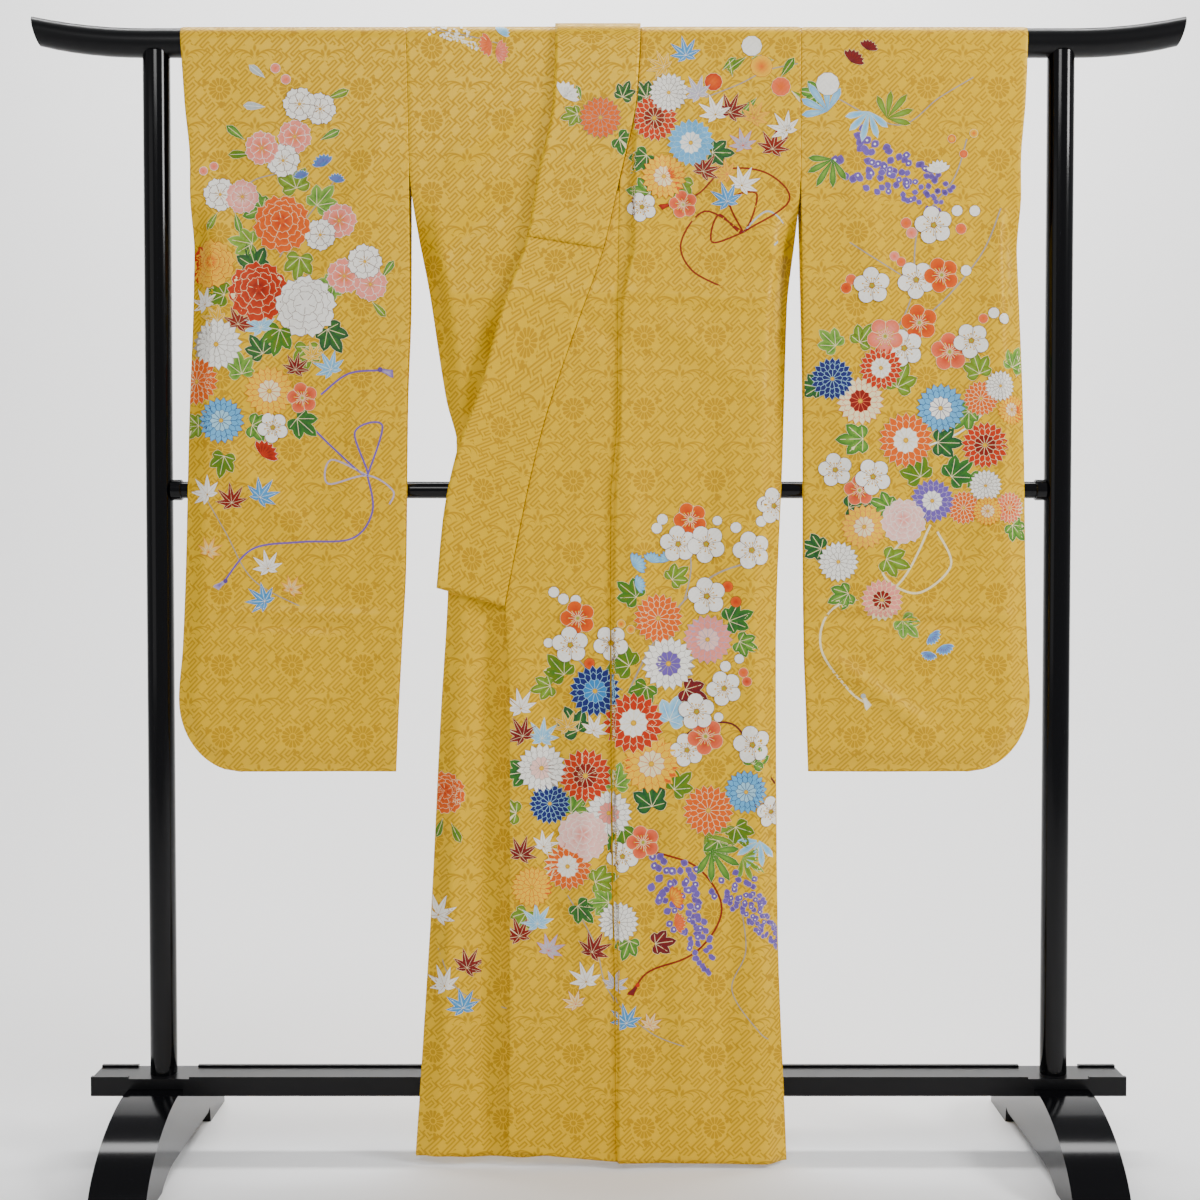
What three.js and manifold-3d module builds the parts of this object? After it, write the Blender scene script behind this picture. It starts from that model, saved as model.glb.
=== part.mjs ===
// A long-sleeved silk kimono, laid over the bar of a black lacquered kimono stand,
// its left front folded over its right. Millimetres, +Z up, the front faces -Y,
// the wearer's left is +X, and the origin is on the floor under the middle.
import * as THREE from 'three';
import { mergeVertices } from 'three/addons/utils/BufferGeometryUtils.js';
import Module from 'manifold-3d';

const wasm = await Module();
wasm.setup();

// Driving dimensions.
const gap = 0.3; // between two pieces that meet
const wall = 1.6; // a panel with its lining
const collarWall = 1.9; // the collar strip is folded double
const bar = { z: 1647, radius: 21, reach: 845, straight: 680, rise: 17, sides: 32 };
const wrap = { panel: 22.7, collar: 25.2 }; // radius of each layer over the bar
const neck = { middle: -7, half: 54, low: 62, high: 50, seam: 2.8 }; // the neckline's curve at the back, below the ridge
const post = { x: 664, radius: 19.8, sides: 32 };
const crossbar = { z: 992, radius: 12.5, collarRadius: 15.5, collarLength: 14, sides: 24 };
const rail = { halfLength: 764, halfDepth: 33, bottom: 97.7, top: 126.2, lip: 3, lipWidth: 7, clear: 45 };
const foot = { x: 668, halfWidth: 40, halfLength: 250, height: 108, notch: 10.6, arch: 20 };
const silk = { color: 0xdaa51b, roughness: 0.42, metalness: 0 };
const lacquer = { color: 0x0b0b0d, roughness: 0.12, metalness: 0 };
const satinBlack = { color: 0x111114, roughness: 0.35, metalness: 0 };

// A level is a height on cloth that hangs, and goes on over the bar as length of cloth.
const ridge = bar.z + (Math.PI / 2) * wrap.panel;
const front = -1;
const back = 1;

const mix = (a, b, t) => a + (b - a) * t;
const clamp = (t) => Math.min(1, Math.max(0, t));
const ease = (t) => clamp(t) ** 2 * (3 - 2 * clamp(t));
const steps = (from, to, count) => Array.from({ length: count + 1 }, (_, i) => mix(from, to, i / count));

// A table with named columns, read smoothly by its first one, with no overshoot between rows.
function table(names, rows) {
  const key = rows.map((row) => row[0]);
  const last = rows.length - 1;
  const columns = {};
  names.split(' ').forEach((name, column) => {
    const value = rows.map((row) => row[column]);
    const slope = (i) => (value[i + 1] - value[i]) / (key[i + 1] - key[i]);
    const tangent = (i) => {
      if (i === 0 || i === last) return slope(i === 0 ? 0 : last - 1);
      const [before, after] = [slope(i - 1), slope(i)];
      return before * after <= 0 ? 0 : (2 * before * after) / (before + after);
    };
    columns[name] = (at) => {
      const inside = Math.min(key[0], Math.max(key[last], at));
      let i = 0;
      while (i < last - 1 && inside < key[i + 1]) i += 1;
      const span = key[i + 1] - key[i];
      const t = (inside - key[i]) / span;
      const bend = (value[i + 1] - value[i]) * t * t * (3 - 2 * t);
      const ends = tangent(i) * t * (1 - t) ** 2 - tangent(i + 1) * t * t * (1 - t);
      return value[i] + bend + ends * span;
    };
  });
  return columns;
}

// How far each layer hangs from the stand's middle plane.
const hangs = table('level outer under back sleeveBack', [
  [1647, -22.7, -22.7, 22.7, 22.7],
  [1587, -28, -23, 20, 20],
  [1450, -33, -26, 13, 13],
  [1290, -37, -29, 1, 1],
  [1050, -41, -33, -15, -14],
  [992, -42, -34, -17, -15.6],
  [840, -44, -36, -20, -17],
  [540, -50, -42, -27, -18],
  [130, -60, -51, -38.5, -18],
  [6, -62, -53, -39.5, -18],
]);
const sleeveFront = table('level right left', [
  [1647, -22.7, -22.7],
  [1587, -23, -28],
  [1450, -26, -33],
  [1290, -28, -34],
  [992, -31, -34],
  [577, -31, -33],
]);

// Outlines, seen from the front.
const armhole = table('level right left', [
  [ridge, -296, 281],
  [1558, -293, 279],
  [1464, -291, 279],
]);
const leftFront = table('level side okumiSeam pleat', [
  [ridge, 281, 16, 40],
  [1558, 279, 16, 39],
  [1464, 279, 16, 38],
  [1355, 273, 14, 37],
  [1266, 263, 13, 22],
  [1194, 259, 13, 19],
  [1092, 255, 12, 18],
  [976, 252, 3, 11],
  [758, 245, 3, 9],
  [568, 246, 4, 10],
  [391, 248, 6, 14],
  [244, 250, 9, 16],
  [6, 262, 11, 15],
]);
const rightFront = table('level side okumiSeam', [
  [ridge, -296, -12],
  [1558, -293, -12],
  [1464, -291, -12],
  [1370, -280, -12],
  [1283, -264, -12],
  [1123, -238, -12],
  [1050, -221, -12],
  [947, -233, -12],
  [838, -236, -12],
  [655, -247, -12],
  [391, -260, -12],
  [125, -276, -12],
  [10, -284, -12],
]);
const okumiFree = table('level left right', [
  [821, -151, 135],
  [685, -145, 131],
  [244, -145, 130],
  [10, -147, 130],
]);
const backSide = table('level right left', [
  [ridge, -296, 281],
  [1464, -291, 279],
  [1283, -264, 264],
  [1050, -223, 256],
  [758, -238, 246],
  [391, -260, 248],
  [10, -284, 262],
]);
const sleeveEdges = table('level rightInner rightOuter leftInner leftOuter', [
  [ridge, -296, -626, 281, 612],
  [1558, -293, -618, 279, 606],
  [1464, -291, -610, 279, 599],
  [1268, -290, -611, 282, 604],
  [1123, -294, -615, 284, 608],
  [889, -297, -621, 285, 612],
  [757, -304, -627, 287, 616],
  [683, -308, -633, 290, 620],
  [577, -313, -633, 294, 620],
]);
const sleeveCut = { bottom: 577, cornerWidth: 90, cornerHeight: 106, cuffEnd: 1425, armholeEnd: 1464 };

// The collar strip, from its lower end to the ridge: its free edge and its sewn edge.
const leftStrip = table('way freeLevel freeX seamLevel seamX', [
  [9, ridge, -78, ridge, 47],
  [8, 1647, -78, 1647, 46],
  [7, 1558, -81, 1557, 40],
  [6, 1445, -104, 1444, 16],
  [5, 1359, -119, 1341, -8],
  [4, 1265, -152, 1224, -49],
  [3, 1137, -188, 1093, -93],
  [2, 1049, -220, 1006, -115],
  [1, 955, -240, 918, -133],
  [0, 848, -251, 821, -152],
]);
const rightStrip = table('way freeLevel freeX seamLevel seamX', [
  [9, ridge, 42, ridge, -61],
  [8, 1647, 42, 1647, -60],
  [7, 1558, 58, 1557, -56],
  [6, 1445, 88, 1444, -32],
  [5, 1359, 103, 1341, -8],
  [4, 1265, 134, 1224, 33],
  [3, 1137, 168, 1093, 77],
  [2, 1049, 190, 1006, 99],
  [1, 955, 205, 918, 117],
  [0, 848, 215, 821, 136],
]);
const strip = { top: 9, backFree: -61, backSeam: 47, overCollarEnd: 5.2 };

// Soft folds down the back, each one standing off towards the front.
const backFolds = table('number x width depth', [
  [5, -212, 46, 7],
  [4, -128, 40, 9],
  [3, -52, 34, 6],
  [2, 46, 38, 8],
  [1, 128, 44, 9],
  [0, 208, 42, 7],
]);
const foldCount = 6;

function backFold(x, level) {
  const fullness = ease((1500 - level) / 420);
  let depth = 0;
  for (let i = 0; i < foldCount; i += 1) {
    const off = (x - backFolds.x(i)) / backFolds.width(i);
    depth += backFolds.depth(i) * Math.exp(-off * off * 2.2);
  }
  return -fullness * depth;
}

// The pleat beside the left overlap seam: cloth to its right stands forward of it.
function pleat(x, level) {
  const off = x - leftFront.pleat(level);
  const edge = off < 0 ? ease(1 + off / 4) : 1 - 0.8 * ease(off / 90);
  return -4.5 * edge * ease((1610 - level) / 150);
}

// A tuck runs across both fronts a little above the waist.
const tuck = (level) => -1.6 * Math.exp(-(((level - 1276) / 9) ** 2));

// How much of its own depth a front keeps near the side seam, where it meets the back.
const sideClosed = (level) => ease((1425 - level) / 110);
function nearSide(x, side, level) {
  return 1 - sideClosed(level) * (1 - ease(Math.abs(x - side) / 34));
}
const meet = wall + gap;

const depths = {
  back: (x, level) => hangs.back(level) + backFold(x, level),
  outer: (x, level) => {
    const own = hangs.outer(level) + pleat(x, level) + tuck(level);
    const behind = hangs.back(level) + backFold(x, level) - meet;
    return mix(behind, own, nearSide(x, leftFront.side(level), level));
  },
  under: (x, level) => {
    const own = hangs.under(level) + tuck(level);
    const behind = hangs.back(level) + backFold(x, level) - meet;
    return mix(behind, own, nearSide(x, rightFront.side(level), level));
  },
};

// Where cloth lies, and its outward direction there: over the bar it follows a circle,
// and below the bar it hangs at its depth.
function lay(x, level, face, depth, radius = wrap.panel) {
  const turn = Math.min((ridge - level) / wrap.panel, Math.PI / 2);
  const out = new THREE.Vector3(0, face * Math.sin(turn), Math.cos(turn));
  const at = new THREE.Vector3(x, radius * out.y, bar.z + radius * out.z);
  if (level < bar.z) at.set(x, depth(x, level), level);
  return { at, out };
}

function geometryOf(positions, indices) {
  const geometry = new THREE.BufferGeometry();
  geometry.setAttribute('position', new THREE.Float32BufferAttribute(positions, 3));
  geometry.setIndex(indices);
  return geometry;
}

function volumeOf(points, indices) {
  let sum = 0;
  for (let i = 0; i < indices.length; i += 3) {
    const [a, b, c] = [0, 1, 2].map((k) => points[indices[i + k]]);
    sum += a.dot(new THREE.Vector3().crossVectors(b, c));
  }
  return sum / 6;
}

// A closed slab about a grid of mid-surface points, with its thickness along their directions.
function slab(grid, thickness) {
  const rows = grid.length;
  const columns = grid[0].length;
  const sides = [-1, 1].map((side) => grid.map((row) => row.map(({ at, out }) => (
    at.clone().addScaledVector(out, (side * thickness) / 2)
  ))));
  const points = sides.flat(2);
  const indices = [];
  const spot = (side, i, j) => side * rows * columns + i * columns + j;
  const quad = (a, b, c, d) => indices.push(a, b, c, a, c, d);
  for (let i = 0; i < rows - 1; i += 1) {
    for (let j = 0; j < columns - 1; j += 1) {
      quad(spot(0, i, j), spot(0, i, j + 1), spot(0, i + 1, j + 1), spot(0, i + 1, j));
      quad(spot(1, i, j), spot(1, i + 1, j), spot(1, i + 1, j + 1), spot(1, i, j + 1));
    }
  }
  const rim = [
    ...steps(0, rows - 1, rows - 1).map((i) => [Math.round(i), 0]),
    ...steps(0, columns - 1, columns - 1).map((j) => [rows - 1, Math.round(j)]).slice(1),
    ...steps(rows - 1, 0, rows - 1).map((i) => [Math.round(i), columns - 1]).slice(1),
    ...steps(columns - 1, 0, columns - 1).map((j) => [0, Math.round(j)]).slice(1),
  ];
  rim.slice(1).forEach((next, k) => {
    const before = rim[k];
    quad(spot(0, ...before), spot(0, ...next), spot(1, ...next), spot(1, ...before));
  });
  if (volumeOf(points, indices) < 0) indices.reverse();
  return geometryOf(points.flatMap((point) => point.toArray()), indices);
}

// Rows of a panel that goes from its front hem over the bar to its back hem.
const overBar = steps(0, 1, 6).slice(1, -1).map((t) => mix(bar.z, ridge, t));
function panelRows(frontLevels, backLevels) {
  const turn = [bar.z, ...overBar, ridge];
  const up = [...frontLevels, ...turn].map((level) => ({ level, face: front }));
  const down = [...turn.slice(0, -1).reverse(), ...backLevels].map((level) => ({ level, face: back }));
  return [...up, ...down];
}

// The hem of each piece rises a little towards the front edges. The rise fades out upwards.
const hemRise = (rise, level) => rise * ease(1 - level / 300);

// Both pieces at a seam have rows at the same levels.
const frontLevels = [6, 130, 390, 680, 821, 900, 980, 1060, 1140, 1220, 1262, 1276, 1290, 1350, 1425];
const bodyLevels = {
  front: [...frontLevels, 1442, 1485, 1520, 1557, 1590, 1615],
  back: [...[54.2, 58, 61.5, 63.8, 64.8].map((below) => ridge - below), 1560, 1464, 1425, 1340, 1200, 1040, 992, 840, 600, 390, 130, 12],
};

// Half the width of the back's neckline at a level: a curve from the shoulder to the back seam.
function neckHalf(level, half) {
  const low = neck.low + neck.seam;
  return half * Math.sqrt(clamp((low + level - ridge) / (low - neck.high - 1.5 * neck.seam)));
}

// Above the end of the armhole a body panel and its sleeve share one edge, a gap apart.
const joined = (hole, own) => (level) => (level >= sleeveCut.armholeEnd ? hole(level) : own(level));

function bodyLeft() {
  const columns = [0, 0.03, 0.07, 0.11, 0.3, 0.52, 0.74, 0.87, 0.94, 1];
  return panelRows(bodyLevels.front, bodyLevels.back).map(({ level, face }) => columns.map((u) => {
    if (face === back) {
      const inner = neck.middle + gap / 2 + neckHalf(level, neck.half);
      const x = mix(inner, joined(armhole.left, backSide.left)(level) - gap / 2, u);
      return lay(x, level, back, depths.back);
    }
    const inner = Math.max(leftFront.okumiSeam(level) + gap / 2, seamAt(leftStrip, level) + 2 * gap);
    const x = mix(inner, joined(armhole.left, leftFront.side)(level) - gap / 2, u);
    return lay(x, level + hemRise(mix(4, 0, u), level), front, depths.outer);
  }));
}

function bodyRight() {
  const columns = [0, 0.06, 0.14, 0.28, 0.46, 0.64, 0.82, 1];
  return panelRows(bodyLevels.front, bodyLevels.back).map(({ level, face }) => columns.map((u) => {
    if (face === back) {
      const inner = neck.middle - gap / 2 - neckHalf(level, neck.half);
      const x = mix(joined(armhole.right, backSide.right)(level) + gap / 2, inner, u);
      return lay(x, level, back, depths.back);
    }
    const side = joined(armhole.right, rightFront.side)(level) + gap / 2;
    const inner = Math.min(rightFront.okumiSeam(level) - gap / 2, seamAt(rightStrip, level) - 2 * gap);
    const x = mix(side, inner, u);
    return lay(x, level + hemRise(mix(8, 14, u), level), front, depths.under);
  }));
}

// Each overlap panel runs from the hem to the point where the collar seam meets the front seam.
function okumi(seam, free, collarSeam, depth, rise, columns, top) {
  return frontLevels.filter((level) => level <= top).map((level) => steps(0, 1, columns).map((u) => {
    const edge = level > 821 ? collarSeam(level) : free(level);
    return lay(mix(edge, seam(level), u), level + hemRise(mix(rise[0], rise[1], u), level), front, depth);
  }));
}

// The x of a strip's sewn edge at a level.
function seamAt(stripTable, level) {
  let [low, high] = [0, strip.top];
  for (let i = 0; i < 30; i += 1) {
    const middle = (low + high) / 2;
    if (stripTable.seamLevel(middle) < level) low = middle;
    else high = middle;
  }
  return stripTable.seamX(low);
}

function okumiLeft() {
  const seam = (level) => leftFront.okumiSeam(level) - gap / 2;
  const collarSeam = (level) => seamAt(leftStrip, level) + 2 * gap;
  return okumi(seam, okumiFree.left, collarSeam, depths.outer, [18, 4], 4, 1425);
}

function okumiRight() {
  const seam = (level) => rightFront.okumiSeam(level) + gap / 2;
  const collarSeam = (level) => seamAt(rightStrip, level) - 2 * gap;
  return okumi(seam, okumiFree.right, collarSeam, depths.under, [18, 12], 3, 1340);
}

// The collar: a strip that comes up the left front, over the bar, folds under itself
// at the back of the neck and goes down the right front.
const liftAt = (way) => 0.8 + 1.7 * ease(way - 7);
const freeEdgeLift = (u, way) => 5 * (1 - ease(u / 0.55)) * ease(way / 1.2) * ease((5.2 - way) / 2);
const collarDepth = (u, way) => (x, level) => depths.outer(x, level) - liftAt(way) - freeEdgeLift(u, way);

function leftStripPoint(way, u, out) {
  const x = mix(leftStrip.freeX(way), leftStrip.seamX(way), u);
  const level = mix(leftStrip.freeLevel(way), leftStrip.seamLevel(way), u);
  const depth = (atX, atLevel) => collarDepth(u, way)(atX, atLevel) - out;
  return lay(x, level, front, depth, wrap.collar + out);
}

const turned = ({ at, out }) => ({ at, out: out.clone().negate() });

function rightStripPoint(way, u) {
  const x = mix(rightStrip.seamX(way), rightStrip.freeX(way), u);
  const level = mix(rightStrip.seamLevel(way), rightStrip.freeLevel(way), u);
  return turned(lay(x, level, front, depths.under));
}

// The neck at the back, from the ridge (t = 0) to the strip's fold (t = 1).
function neckPoint(t, x, radius, further = 0) {
  const off = (x - neck.middle) / neck.half;
  const reach = neck.low - (neck.low - neck.high) * Math.min(1, off * off);
  return lay(x, ridge - t * reach - further, back, () => radius, radius);
}
const outerNeckX = (t, u) => mix(mix(leftStrip.freeX(strip.top), strip.backFree, t), strip.backSeam, u);
const innerNeckX = (t, u) => {
  const [seam, free] = [rightStrip.seamX(strip.top), rightStrip.freeX(strip.top)];
  return mix(mix(seam, free, u), outerNeckX(1, u), t);
};

const across = steps(0, 1, 4);
const alongFront = [...steps(0, 8, 16), ...steps(8, 9, 6).slice(1, -1)];
const alongNeck = steps(0, 1, 8);

function collar() {
  const turnRadius = (wrap.collar - wrap.panel) / 2;
  const turnMiddle = (wrap.collar + wrap.panel) / 2;
  const up = alongFront.map((way) => across.map((u) => leftStripPoint(way, u, 0)));
  const over = alongNeck.map((t) => across.map((u) => neckPoint(t, outerNeckX(t, u), wrap.collar)));
  const fold = steps(0, Math.PI, 4).slice(1, -1).map((angle) => across.map((u) => {
    const radius = turnMiddle + turnRadius * Math.cos(angle);
    const point = neckPoint(1, outerNeckX(1, u), radius, turnRadius * Math.sin(angle));
    const along = new THREE.Vector3(0, point.out.z, -point.out.y);
    point.out.multiplyScalar(Math.cos(angle)).addScaledVector(along, Math.sin(angle));
    return point;
  }));
  const under = alongNeck.toReversed().map((t) => across.map((u) => (
    turned(neckPoint(t, innerNeckX(t, u), wrap.panel))
  )));
  const down = alongFront.toReversed().map((way) => across.map((u) => rightStripPoint(way, u)));
  return [...up, ...over, ...fold, ...under, ...down];
}

// The over-collar lies on the collar, moved out by both walls and a gap.
function overCollar() {
  const out = collarWall / 2 + gap + wall / 2;
  const ways = alongFront.filter((way) => way >= strip.overCollarEnd - 0.3);
  const up = ways.map((way) => across.map((u) => leftStripPoint(way, u, out)));
  const over = alongNeck.slice(0, -1).map((t) => across.map((u) => {
    return neckPoint(t, outerNeckX(t, u), wrap.collar + out);
  }));
  return [...up, ...over];
}

// A sleeve is one length folded over the bar. Its outer edge is open at the wrist and closed
// below it, its bottom is closed with a round corner, and its inner edge stays open.
function sleeve(sign, inner, outer, frontDepth) {
  const { bottom, cornerWidth, cornerHeight, cuffEnd } = sleeveCut;
  const round = (t) => 1 - Math.sqrt(1 - clamp(t) ** 2);
  const outerEdge = (level) => {
    const corner = cornerWidth * round((bottom + cornerHeight - level) / cornerHeight);
    return outer(level) - sign * corner;
  };
  const bottomAt = (x) => {
    const straight = Math.abs(outer(bottom)) - cornerWidth;
    return bottom + cornerHeight * round((Math.abs(x) - straight) / cornerWidth);
  };
  const behind = (x, level) => hangs.sleeveBack(level) + sleeveFold(x, level, sign);
  const before = (x, level) => {
    const closed = ease((cuffEnd - level) / 90);
    const fromSide = 1 - closed * (1 - ease(Math.abs(x - outerEdge(level)) / 34));
    const fromBottom = ease((level - bottomAt(x)) / 40);
    const own = frontDepth(level) + sleeveFold(x, level, sign);
    return mix(behind(x, level) - meet, own, fromSide * fromBottom);
  };
  const levels = [577, 579, 585, 597, 617, 645, 683, 757, 889, 992, 1123, 1268, 1335, 1380, 1425, 1464, 1558, 1615];
  const columns = [0, 0.05, 0.13, 0.36, 0.6, 0.84, 1];
  return panelRows(levels, levels.toReversed()).map(({ level, face }) => columns.map((u) => {
    const x = mix(outerEdge(level), inner(level) + (sign * gap) / 2, u);
    return lay(x, level, face, face === front ? before : behind);
  }));
}

// Long shallow bends that both layers of a sleeve share.
function sleeveFold(x, level, sign) {
  const across = (Math.abs(x) - 455) / 165;
  const fullness = ease((1560 - level) / 500);
  return -fullness * (1.6 + 1.6 * Math.cos(across * 4.2 + sign * level / 420));
}

// The stand.
function solidOf(geometry) {
  const bare = geometry.clone();
  bare.deleteAttribute('normal');
  bare.deleteAttribute('uv');
  const merged = mergeVertices(bare, 1e-3);
  return new wasm.Manifold(new wasm.Mesh({
    numProp: 3,
    vertProperties: new Float32Array(merged.attributes.position.array),
    triVerts: new Uint32Array(merged.index.array),
  }));
}

function geometryFrom(solid) {
  const mesh = solid.getMesh();
  return geometryOf(Array.from(mesh.vertProperties), Array.from(mesh.triVerts));
}

// A round bar along X, its ends curved up and cut on a slant.
function topBar() {
  const along = [...steps(-bar.reach, -bar.straight, 8), ...steps(bar.straight, bar.reach, 8)];
  const points = [];
  along.forEach((x) => {
    const bent = clamp((Math.abs(x) - bar.straight) / (bar.reach - bar.straight));
    const z = bar.z + bar.rise * bent ** 2;
    const slant = Math.sign(x) * bent ** 3 * 0.25;
    for (let k = 0; k < bar.sides; k += 1) {
      const angle = (2 * Math.PI * k) / bar.sides;
      const [y, up] = [bar.radius * Math.cos(angle), bar.radius * Math.sin(angle)];
      points.push(new THREE.Vector3(x + slant * (up - bar.radius), y, z + up));
    }
  });
  const indices = [];
  for (let i = 0; i < along.length - 1; i += 1) {
    for (let k = 0; k < bar.sides; k += 1) {
      const [a, b] = [i * bar.sides + k, i * bar.sides + ((k + 1) % bar.sides)];
      indices.push(a, b, b + bar.sides, a, b + bar.sides, a + bar.sides);
    }
  }
  const lastRing = (along.length - 1) * bar.sides;
  for (let k = 1; k < bar.sides - 1; k += 1) {
    indices.push(0, k + 1, k, lastRing, lastRing + k, lastRing + k + 1);
  }
  if (volumeOf(points, indices) < 0) indices.reverse();
  return geometryOf(points.flatMap((point) => point.toArray()), indices);
}

const rodAlongX = (radius, length, sides) => (
  new THREE.CylinderGeometry(radius, radius, length, sides).rotateZ(Math.PI / 2)
);

function postAt(x) {
  const bottom = rail.top - rail.lip + gap;
  const height = bar.z - bottom;
  const rod = new THREE.CylinderGeometry(post.radius, post.radius, height, post.sides).rotateX(Math.PI / 2);
  rod.translate(x, 0, bottom + height / 2);
  const saddle = rodAlongX(bar.radius + gap, 4 * post.radius, bar.sides).translate(x, 0, bar.z);
  return geometryFrom(solidOf(rod).subtract(solidOf(saddle)));
}

function crossbarRod() {
  const half = post.x - post.radius * 0.2;
  const { radius, collarRadius, collarLength } = crossbar;
  const collarStart = post.x - post.radius - collarLength;
  const profile = [[0, -half], [collarRadius, -half], [collarRadius, -collarStart], [radius, -collarStart],
    [radius, collarStart], [collarRadius, collarStart], [collarRadius, half], [0, half]];
  const points = profile.map(([r, along]) => new THREE.Vector2(r, along));
  const lathe = new THREE.LatheGeometry(points, crossbar.sides).rotateZ(Math.PI / 2).translate(0, 0, crossbar.z);
  return [-post.x, post.x].reduce((solid, x) => {
    const hole = new THREE.CylinderGeometry(post.radius + gap, post.radius + gap, 80, post.sides);
    return solid.subtract(solidOf(hole.rotateX(Math.PI / 2).translate(x, 0, crossbar.z)));
  }, solidOf(lathe));
}

// The rail has a low lip along each long edge, left out around the posts.
function baseRail() {
  const { halfLength, halfDepth, bottom, top, lip, lipWidth, clear } = rail;
  const height = top - bottom;
  const block = new THREE.BoxGeometry(2 * halfLength, 2 * halfDepth, height).translate(0, 0, bottom + height / 2);
  const channel = new THREE.BoxGeometry(3 * halfLength, 2 * (halfDepth - lipWidth), 2 * lip).translate(0, 0, top);
  return [-post.x, post.x].reduce((solid, x) => {
    const notch = new THREE.BoxGeometry(2 * clear, 4 * halfDepth, 2 * lip).translate(x, 0, top);
    return solid.subtract(solidOf(notch));
  }, solidOf(block).subtract(solidOf(channel)));
}

// A foot seen from its side: an arched back, a hollow underneath and a notch for the rail.
function footAt(x) {
  const { halfWidth, halfLength, height, notch, arch } = foot;
  const shoulder = rail.halfDepth + 22;
  const crown = (t) => {
    const angle = (t * Math.PI) / 2;
    const y = shoulder + (halfLength - shoulder) * Math.sin(angle) ** 1.2;
    return [y, height * Math.cos(angle) ** 1.15];
  };
  const shape = new THREE.Shape();
  shape.moveTo(-halfLength, 0);
  steps(0.97, 0, 10).forEach((t) => shape.lineTo(-crown(t)[0], crown(t)[1]));
  [[-1, 0], [-1, 1], [1, 1], [1, 0]].forEach(([side, down]) => {
    shape.lineTo(side * (rail.halfDepth + gap), height - down * notch);
  });
  steps(0, 0.97, 10).forEach((t) => shape.lineTo(...crown(t)));
  shape.lineTo(halfLength, 0);
  shape.lineTo(148, 0);
  shape.lineTo(143, arch + 5);
  shape.lineTo(130, arch);
  shape.lineTo(-90, arch);
  shape.quadraticCurveTo(-130, arch * 0.7, -160, 0);
  const solid = new THREE.ExtrudeGeometry(shape, { depth: 2 * halfWidth, bevelEnabled: false, curveSegments: 5 });
  solid.rotateZ(Math.PI / 2).rotateY(Math.PI / 2).translate(x - halfWidth, 0, 0);
  return geometryFrom(solidOf(solid));
}

const group = new THREE.Group();
const add = (name, geometry, finish) => {
  const mesh = new THREE.Mesh(geometry, new THREE.MeshStandardMaterial(finish));
  mesh.name = name;
  group.add(mesh);
};

add('body_left', slab(bodyLeft(), wall), silk);
add('body_right', slab(bodyRight(), wall), silk);
add('okumi_left', slab(okumiLeft(), wall), silk);
add('okumi_right', slab(okumiRight(), wall), silk);
add('collar', slab(collar(), collarWall), silk);
add('over_collar', slab(overCollar(), wall), silk);
const rightInner = joined(armhole.right, sleeveEdges.rightInner);
const leftInner = joined(armhole.left, sleeveEdges.leftInner);
add('sleeve_right', slab(sleeve(-1, rightInner, sleeveEdges.rightOuter, sleeveFront.right), wall), silk);
add('sleeve_left', slab(sleeve(1, leftInner, sleeveEdges.leftOuter, sleeveFront.left), wall), silk);

add('top_bar', topBar(), satinBlack);
add('post_right', postAt(-post.x), lacquer);
add('post_left', postAt(post.x), lacquer);
add('crossbar', geometryFrom(crossbarRod()), lacquer);
add('base_rail', geometryFrom(baseRail()), satinBlack);
add('foot_right', footAt(-foot.x), lacquer);
add('foot_left', footAt(foot.x), lacquer);

export default group;
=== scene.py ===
import math
import random
from types import SimpleNamespace

import bmesh
import bpy
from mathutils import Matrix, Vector, noise


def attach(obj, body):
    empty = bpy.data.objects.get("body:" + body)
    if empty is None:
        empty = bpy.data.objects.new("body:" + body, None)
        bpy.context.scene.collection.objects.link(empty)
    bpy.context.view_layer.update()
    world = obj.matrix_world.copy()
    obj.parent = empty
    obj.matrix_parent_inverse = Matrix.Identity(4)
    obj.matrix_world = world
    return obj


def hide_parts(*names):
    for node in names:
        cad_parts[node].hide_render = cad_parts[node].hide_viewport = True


# A silk kimono over the bar of a black lacquered stand. Forms are worked out in
# millimetres, as in the CAD, and written to the meshes in metres.
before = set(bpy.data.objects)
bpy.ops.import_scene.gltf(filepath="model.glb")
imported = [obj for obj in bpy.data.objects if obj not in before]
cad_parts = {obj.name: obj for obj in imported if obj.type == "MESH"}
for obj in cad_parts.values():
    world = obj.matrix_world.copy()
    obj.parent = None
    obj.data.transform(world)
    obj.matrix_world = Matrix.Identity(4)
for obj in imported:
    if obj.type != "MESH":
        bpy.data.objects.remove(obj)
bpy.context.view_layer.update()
print("frame loaded")

metre = 0.001
barZ = 1647
wrapPanel = 22.7
wrapCollar = 25.2
ridge = barZ + math.pi / 2 * wrapPanel
gap = 0.3
meet = 1.9
front = -1
back = 1


def mix(a, b, t):
    return a + (b - a) * t


def clamp(t):
    return min(1, max(0, t))


def ease(t):
    return clamp(t) ** 2 * (3 - 2 * clamp(t))


# A column of a table, read smoothly by the first one, with no overshoot.
def reader(key, value):
    last = len(key) - 1
    slopes = [(value[i + 1] - value[i]) / (key[i + 1] - key[i]) for i in range(last)]

    def tangent(i):
        if i in (0, last):
            return slopes[0 if i == 0 else last - 1]
        before, after = slopes[i - 1], slopes[i]
        return 0 if before * after <= 0 else 2 * before * after / (before + after)

    tangents = [tangent(i) for i in range(last + 1)]

    def read(at):
        inside = min(key[0], max(key[last], at))
        i = 0
        while i < last - 1 and inside < key[i + 1]:
            i += 1
        span = key[i + 1] - key[i]
        t = (inside - key[i]) / span
        bend = (value[i + 1] - value[i]) * t * t * (3 - 2 * t)
        ends = tangents[i] * t * (1 - t) ** 2 - tangents[i + 1] * t * t * (1 - t)
        return value[i] + bend + ends * span

    return read


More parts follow.
